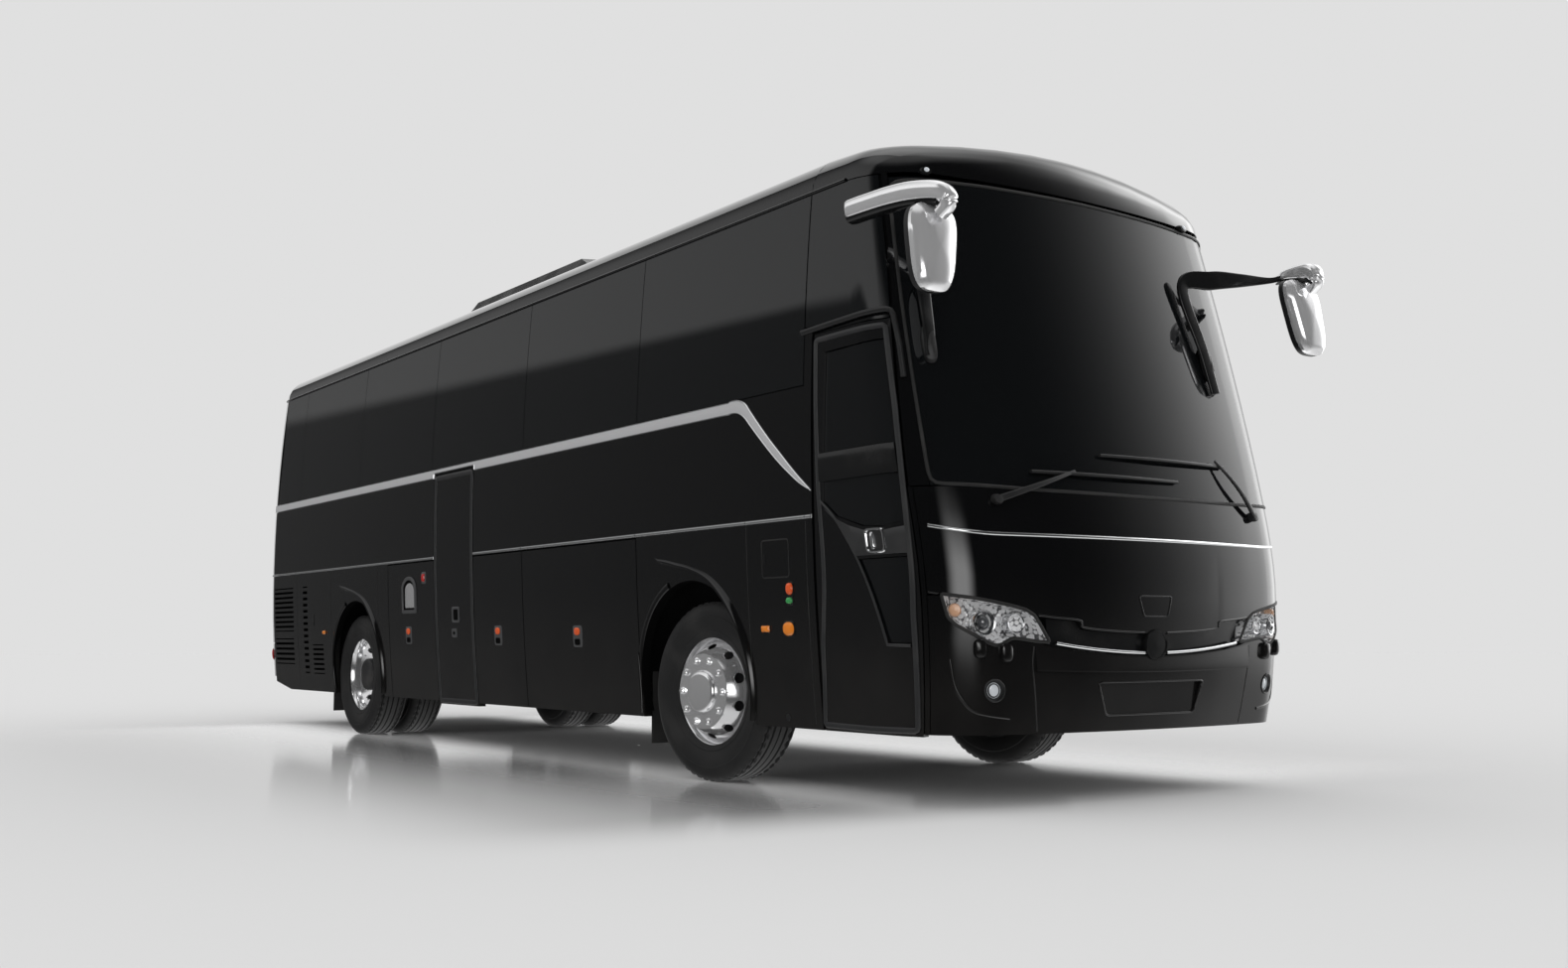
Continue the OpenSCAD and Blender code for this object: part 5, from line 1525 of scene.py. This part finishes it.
    def lock(self, skin: Skin, body: str, x: float, z: float) -> None:
        """Flap lock: grey plate, orange marker over a dark key barrel.

        Args:
            skin: Side skin.
            body: Flap that it rides on.
            x: Its X from the front axle.
            z: Its height.
        """
        boss(skin, squircle((x, z), (0.06, 0.066), 7.0, 64), PAD_STEPS).build(f"lock_plate_{body}", TRIM, body)
        mark: Steps = ((1.0, 0.002), (1.0, 0.008), (0.8, 0.011), (0.02, 0.012))
        boss(skin, squircle((x, z + 0.03), (0.036, 0.023), 2.6), mark).build(f"lock_marker_{body}", ORANGE, body)
        barrel: Steps = ((1.0, 0.002), (1.0, 0.0065), (0.8, 0.007), (0.7, 0.005), (0.02, 0.005))
        boss(skin, squircle((x, z - 0.034), (0.034, 0.019), 5.0), barrel).build(f"lock_barrel_{body}", LINER, body)

    def filler(self, skin: Skin, body: str) -> None:
        """Filler flap: bullet-shaped outline, a grey frame round a dark step and a bright plate.

        Args:
            skin: Side skin.
            body: Flap that it rides on.
        """
        a = np.linspace(0.0, np.pi, 24)
        top = np.stack([np.cos(a), 0.35 + 0.65 * np.sin(a)], axis=1)
        bullet = even(np.vstack([top, [[-1.0, -0.95], [-0.94, -1.0], [0.94, -1.0], [1.0, -0.95]]]), 96, True)
        frame: Steps = ((1.0, -0.002), (1.0, 0.006), (0.96, 0.01), (0.82, 0.01), (0.8, 0.003), (0.02, 0.002))
        shape = self.filler_at + bullet * self.filler_half
        boss(skin, shape, frame).build("filler_frame", TRIM, body)
        step: Steps = ((0.81, 0.002), (0.8, 0.0045), (0.02, 0.0045))
        boss(skin, shape, step).build("filler_step", LINER, body)
        plate: Steps = ((1.0, 0.003), (1.0, 0.007), (0.95, 0.008), (0.02, 0.008))
        boss(skin, (-4.028, 1.088) + bullet * (0.086, 0.092), plate).build("filler_plate", ALLOY, body)

    def bars(self, side: Side) -> Surface:
        """Painted bars of the tail grilles, one before each slat, half a pitch high and level with the wall.

        Args:
            side: Side of the coach.

        Returns:
            All the bars of one side.
        """
        made = []
        for back, front, low, high, count in self.grilles:
            pitch, x = (high - low) / count, np.linspace(back - 0.004, front + 0.004, 30)
            section = np.array([(-0.25, -0.007), (-0.25, 0.0), (-0.2, 0.0015), (0.2, 0.0015), (0.25, 0.0),
                                (0.25, -0.007)]) * (pitch, 1.0)
            levels = low + pitch * (np.arange(count) + 0.475)
            made += [line(SHAPE.flank(side), np.stack([x, np.full_like(x, z)], axis=1), section)
                     for z in levels.tolist()]
        return Surface.join(made)

    def build(self) -> None:
        """Make the fittings of both sides."""
        skins = {side: SHAPE.flank(side) for side in Side}
        colours = {"lamp_orange": ORANGE, "lamp_green": GREEN, "marker_corner": RED}
        for side, skin in skins.items():
            word = side.name.lower()
            for number, shift in enumerate(self.arches):
                self.arch(side, shift).build(f"arch_flare_{number}_{word}", PAINT)
                turn, reach = ((112.0, 196.0), (0.0, 1.0)) if shift else ((112.0, 178.0), (0.0, self.flap_line[0]))
                self.edge(side, shift, turn, reach).build(f"arch_edge_{number}_{word}", PAINT)
                self.rim(side, shift).build(f"arch_rim_{number}_{word}", LINER)
                self.liner(side, shift).build(f"arch_liner_{number}_{word}", LINER)
            flap = self.edge(side, 0.0, (163.2, 196.0), (self.flap_line[1], 1.0))
            flap.build(f"arch_edge_{word}_flap", PAINT, f"{word}_flap_1")
            runs = [np.stack([np.full(30, x), np.linspace(low, high, 30)], axis=1) for x, low, high in self.seams]
            Surface.join([line(skin, run, bead(0.007, 0.0012)) for run in runs]).build(f"side_seams_{word}", RUBBER)
            self.bars(side).build(f"grille_bars_{word}", PAINT)
            gutter = np.stack([np.linspace(*self.gutter[:2], 160), np.full(160, self.gutter[2])], axis=1)
            line(skin, gutter, bead(0.018, 0.012)).build(f"gutter_{word}", PAINT)
            for name, x, z, wide, tall in self.lamps:
                shape = squircle((x, z), (wide, tall), 8.0 if name.endswith("flat") else 2.4)
                boss(skin, shape, self.dome).build(f"{name}_{word}", colours.get(name, AMBER))
                base = squircle((x, z), (wide + 0.007, tall + 0.007), 3.0)
                boss(skin, base, PAD_STEPS).build(f"{name}_base_{word}", SMOOTH_PLASTIC)
        for body, x, z in self.locks:
            self.lock(skins[Side.RIGHT if body.startswith("right") else Side.LEFT], body, x, z)
        self.right_only(skins[Side.RIGHT])

    def right_only(self, skin: Skin) -> None:
        """Filler flap, service flap, marker, latches and the middle door's fittings, which only the right side has.

        Args:
            skin: Right side skin.
        """
        flap, door, base = "right_flap_3", "middle_door", "coach_body"
        self.filler(skin, flap)
        line(skin, rounded(self.service, 96, 0.02), bead(0.008, 0.0015), closed=True).build("service_flap_seam", RUBBER)
        edge = line(skin, rounded(self.leaf, 200, 0.03), bead(0.036, 0.007), closed=True)
        edge.build("middle_door_edge", GREY_PLASTIC, door)
        buttons = (
            ("flap_marker_plate", TRIM, flap, squircle((-3.761, 1.212), (0.042, 0.044), 6.0), PAD_STEPS),
            ("flap_marker", RED, flap, squircle((-3.761, 1.212), (0.024, 0.03), 4.0), self.dome),
            ("service_flap_latch", SMOOTH_PLASTIC, base, squircle((0.668, 1.16), (0.012, 0.02), 3.0), PAD_STEPS),
            ("skirt_plug", PLASTIC, base, squircle((0.8, 0.37), (0.018, 0.018), 2.0), PAD_STEPS),
            ("rear_latch", SMOOTH_PLASTIC, base, squircle((-6.24, 0.93), (0.02, 0.05), 4.0), PAD_STEPS),
            ("middle_door_pull", TRIM, door, squircle((-3.19, 0.933), (0.062, 0.056), 8.0, 64), self.pull),
            ("middle_door_pull_well", LINER, door, squircle((-3.19, 0.933), (0.044, 0.04), 8.0), PAD_STEPS),
            ("middle_door_lock_plate", TRIM, door, squircle((-3.229, 0.805), (0.044, 0.031), 7.0), PAD_STEPS),
            ("middle_door_lock", LINER, door, squircle((-3.229, 0.805), (0.018, 0.012), 2.0), self.key),
        )
        for name, finish, body, outline, steps in buttons:
            boss(skin, outline, steps).build(name, finish, body)


@dataclass
class RearFace:
    """Rear: louvres and grip on the engine lid, and a bare plate place."""

    louvres: tuple = (0.98, 1.035, 1.09, 1.145, 1.2)
    louvre_half: float = 0.36

    def build(self) -> None:
        """Make the rear's trims."""
        s = np.linspace(-self.louvre_half, self.louvre_half, 40)
        slats = [line(SHAPE.rear, np.stack([s, np.full_like(s, z)], axis=1), bead(0.03, 0.012)) for z in self.louvres]
        Surface.join(slats).build("lid_louvres", SMOOTH_PLASTIC, "engine_lid")
        grip = squircle((0.0, 0.84), (0.06, 0.026), 5.0)
        boss(SHAPE.rear, grip, PAD_STEPS).build("lid_grip", SMOOTH_PLASTIC, "engine_lid")
        plate: Steps = ((1.0, -0.002), (1.0, 0.004), (0.98, 0.008), (0.95, 0.008), (0.94, 0.004), (0.02, 0.004))
        boss(SHAPE.rear, squircle((0.0, 0.5), (0.18, 0.06), 14.0, 96), plate).build("rear_plate_place", SMOOTH_PLASTIC)


@dataclass
class RoofFittings:
    """Roof: slatted intake covers on the air unit and a short aerial at the front."""

    unit: tuple[float, float] = (-3.95, -2.6)
    unit_top: float = 3.44
    aerial: tuple = (1.23, 0.73, 3.215)

    def build(self) -> None:
        """Make the covers and the aerial."""
        t = np.linspace(-0.42, 0.42, 24)
        height, bar = np.full(24, self.unit_top - 0.003), squircle((0, 0), (0.018, 0.008), 3.0, 12)
        slats = [Surface.sweep(np.stack([np.full(24, SHAPE.axle_x + at), t, height], axis=1), bar)
                 for at in np.linspace(*self.unit, 18).tolist()]
        Surface.join(slats).build("air_unit_slats", PLASTIC)
        x, y, z = self.aerial
        foot = np.array([(x + SHAPE.axle_x, y, z - 0.01), (x + SHAPE.axle_x - 0.012, y, z + 0.03),
                         (x + SHAPE.axle_x - 0.035, y, z + 0.075)])
        Surface.sweep(spline(foot, 16), squircle((0, 0), (0.016, 0.026), 2.5, 20), (0, 1, 0),
                      np.linspace(1.0, 0.25, 16)).build("aerial", PLASTIC)


@dataclass
class Seats:
    """Passenger and driver seats: crowned cushions and backs with headrests on stands, in place of the plain solids."""

    pitch: float = 0.8
    rows: int = 8
    first_x: float = -0.3
    across: tuple = (-0.91, -0.45, 0.45, 0.91)
    floor: float = 1.3
    width: float = 0.43
    door_rows: tuple[int, int] = (3, 4)
    driver: tuple = (0.86, 0.62, 0.86, 0.48)

    def pad(self, centre: Sequence[float], half: Sequence[float], lean: float) -> Surface:
        """Crowned pad: |x|^3 + |y|^4 + |z|^3 form with sewn channels across, leaning back by an angle.

        Args:
            centre: Middle of the pad.
            half: Half sizes along X, Y and Z before leaning.
            lean: Angle in radians that its top goes back.

        Returns:
            The pad.
        """
        v = np.linspace(-np.pi / 2, np.pi / 2, 15)[:, None]
        w = np.linspace(0.0, 2 * np.pi, 24, endpoint=False)[None, :]

        def bent(t: Array, n: float) -> Array:
            """Signed power that squares the form off."""
            return np.sign(t) * np.abs(t) ** n
        x = half[0] * bent(np.cos(v), 0.5) * bent(np.cos(w), 0.5)
        y = half[1] * bent(np.cos(v), 0.5) * bent(np.sin(w), 0.5)
        z = half[2] * bent(np.sin(v), 0.6) + 0 * w
        x = x * (1.0 - 0.05 * np.cos(y * 44.0) ** 8)
        c, s = np.cos(lean), np.sin(lean)
        return Surface.grid(np.stack([c * x - s * z + centre[0], y + centre[1], s * x + c * z + centre[2]], axis=-1),
                            wrap_cols=True, caps=True)

    def build(self) -> None:
        """Make every seat's cushion, back and stand."""
        spots = [(self.first_x - r * self.pitch, y, self.floor, self.width) for r in range(self.rows)
                 for y in self.across if y > 0 or r not in self.door_rows]
        spots.append(self.driver)
        cushions, backs, stands = [], [], []
        for x, y, z, w in spots:
            cushions.append(self.pad((x + SHAPE.axle_x + 0.22, y, z + 0.395), (0.22, w / 2, 0.055), -0.05))
            backs.append(self.pad((x + SHAPE.axle_x, y, z + 0.75), (0.06, w / 2, 0.34), 0.2))
            backs.append(self.pad((x + SHAPE.axle_x - 0.083, y, z + 1.06), (0.045, w / 2 - 0.08, 0.068), 0.2))
            leg = np.array([(x + SHAPE.axle_x + 0.03, y, z), (x + SHAPE.axle_x + 0.03, y, z + 0.17),
                            (x + SHAPE.axle_x + 0.06, y, z + 0.34)])
            stands.append(Surface.sweep(spline(leg, 10), squircle((0, 0), (0.03, w / 2 - 0.05), 6.0, 16), (0, 1, 0)))
        seat = Surface.join(cushions).build("seat_cushions", CLOTH)
        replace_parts(seat, "seats")
        Surface.join(backs).build("seat_backs", CLOTH)
        Surface.join(stands).build("seat_stands", STEEL)


@dataclass
class Studio:
    """Pale floor, soft all-round light and the photograph's camera."""

    pale: float = 0.745
    camera_at: tuple = (9.88575, -5.68745, 0.74767)
    right: tuple = (0.5760511, 0.8174131, -0.0009592)
    up: tuple = (0.0795487, -0.054892, 0.9953185)
    look: tuple = (-0.8135337, 0.5734307, 0.0966447)
    lens: float = 35.747
    shift: tuple = (0.000228, 0.00354)
    floor_size: float = 90.0
    footprint: tuple[float, float] = (4.3, 0.6)
    sheen: float = 3.2
    key: float = 3.2
    softbox: float = 4.4
    ceiling: float = 0.6
    ground: float = 0.55
    least: float = 0.02

    def camera(self) -> None:
        """Camera at the photograph's place: columns of its turn are right, up and back."""
        data = bpy.data.cameras.new("camera")
        data.sensor_width, data.lens = 36.0, self.lens
        data.shift_x, data.shift_y = self.shift
        data.clip_end = 500.0
        made = bpy.data.objects.new("camera", data)
        turn = np.eye(4)
        turn[:3, :3] = np.stack([self.right, self.up, -np.asarray(self.look)], axis=1)
        turn[:3, 3] = self.camera_at
        made.matrix_world = Matrix(turn.tolist())
        bpy.context.scene.collection.objects.link(made)
        bpy.context.scene.camera = made

    def floor(self) -> None:
        """Pale floor, glossy beside the coach so that its sides mirror there, and matt further off."""
        t = np.linspace(0.0, 2 * np.pi, 96, endpoint=False)
        radii = np.array([0.01, 6.0, 20.0, self.floor_size])[:, None]
        rows = np.stack([radii * np.cos(t), radii * np.sin(t), 0 * radii * t - 0.001], axis=-1)
        mesh = bpy.data.meshes.new("floor_disc")
        disc = Surface.grid(rows, wrap_cols=True)
        mesh.from_pydata(disc.points.tolist(), [], [face[::-1] for face in disc.faces])
        material = bpy.data.materials.new("studio_floor")
        material.use_nodes = True
        graph = Graph(material.node_tree)
        x, y, _ = graph.split(graph.place())
        ends = (x.math("ABSOLUTE") - self.footprint[0]).math("MAXIMUM", 0.0)
        sides = (y.math("ABSOLUTE") - self.footprint[1]).math("MAXIMUM", 0.0)
        away = (ends * ends + sides * sides).math("SQRT")
        near = away.smooth(0.0, 1.0) * away.fall(0.6, self.sheen) * x.math("ABSOLUTE").fall(4.0, 5.0)
        plain = graph.node("ShaderNodeBsdfPrincipled", {},
                           {"Base Color": rgba((self.pale,) * 3), "Roughness": 1.0, "Specular IOR Level": 0.0})
        rough = graph.noise(graph.place(), 0.7) * 0.03 + 0.1
        gloss = graph.node("ShaderNodeBsdfPrincipled", {},
                           {"Base Color": rgba((self.pale,) * 3), "Roughness": rough, "Specular IOR Level": 1.0,
                            "Coat Weight": 1.0, "Coat Roughness": 0.1})
        shader = graph.node("ShaderNodeMixShader", {}, {0: near, 1: plain, 2: gloss})
        graph.node("ShaderNodeOutputMaterial", {}, {"Surface": shader})
        mesh.materials.append(material)
        made = bpy.data.objects.new("floor_disc", mesh)
        bpy.context.scene.collection.objects.link(made)
        made.visible_glossy = False

    def world(self) -> None:
        """Even light for matt surfaces, the pale ground for the camera and a studio by direction for gloss to mirror.

        That studio has a bright left side, which grows with the third power of the turn about Z, a soft box ahead to
        the right, a right wall that is paler above a slanting edge, and a dim ceiling and ground.
        """
        world = bpy.data.worlds.new("studio_world")
        world.use_nodes = True
        bpy.context.scene.world = world
        graph = Graph(world.node_tree)
        x, y, z = graph.split(graph.node("ShaderNodeTexCoord", output="Generated"))
        path = graph.node("ShaderNodeLightPath").socket.node
        seen = Value(graph, path.outputs["Is Camera Ray"])
        gloss = Value(graph, path.outputs["Is Glossy Ray"])
        clear = Value(graph, path.outputs["Is Transmission Ray"])
        turn = y.math("ARCTAN2", x)
        bent = turn - z.math("MINIMUM", 0.0) - z.math("MAXIMUM", 0.0) * 0.14
        ramp = graph.node("ShaderNodeMapRange", {}, {"Value": bent, "From Min": 0.489, "From Max": 1.327})
        rise = ramp.math("POWER", 3.0)
        inside = (z.smooth(-0.15, 0.05) * 0.82 + 0.18) * (z.fall(0.6, 0.82) * 0.85 + 0.15)
        left = rise * turn.fall(1.66, 2.0) * self.key * inside + turn.smooth(1.66, 2.0) * self.pale
        across = turn.smooth(-0.95, -0.6) * turn.fall(-0.45, -0.12)
        box = across * z.smooth(-0.28, 0.02) * z.fall(0.12, 0.42) * self.softbox
        upper = (z + y * 0.338).smooth(0.076, 0.092) * (y * -1.0 - 0.06)
        right = turn.fall(-1.75, -1.55) * (upper + 0.08)
        above = z.smooth(0.78, 0.97) * self.ceiling
        below = z.fall(-0.8, -0.4) * self.ground
        mirrored = left + box + right + above + below + self.least
        still = (1 - seen) * (1 - gloss) * (1 - clear)
        level = still + (seen + clear) * self.pale + gloss * mirrored
        shade = graph.node("ShaderNodeBackground", {}, {"Color": (1.0, 1.0, 1.0, 1.0), "Strength": level})
        graph.node("ShaderNodeOutputWorld", {}, {"Surface": shade})

    def build(self) -> None:
        """Set the stage."""
        bpy.context.scene.view_settings.view_transform = "Standard"
        self.camera()
        self.floor()
        self.world()


def main() -> None:
    """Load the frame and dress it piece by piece."""
    logging.basicConfig(level=logging.INFO, format="%(name)s: %(message)s")
    for item in list(bpy.data.objects):
        bpy.data.objects.remove(item)
    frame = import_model()
    Studio().build()
    Bodywork().dress(frame)
    for part in (SideTrim(), Wheels(), Headlamps(), Mirrors(), Wipers(), FrontFace(), DoorDress(), SideFittings(),
                 RearFace(), RoofFittings(), Seats()):
        part.build()
        LOG.info("done: %s", type(part).__name__)


if __name__ == "__main__":
    main()
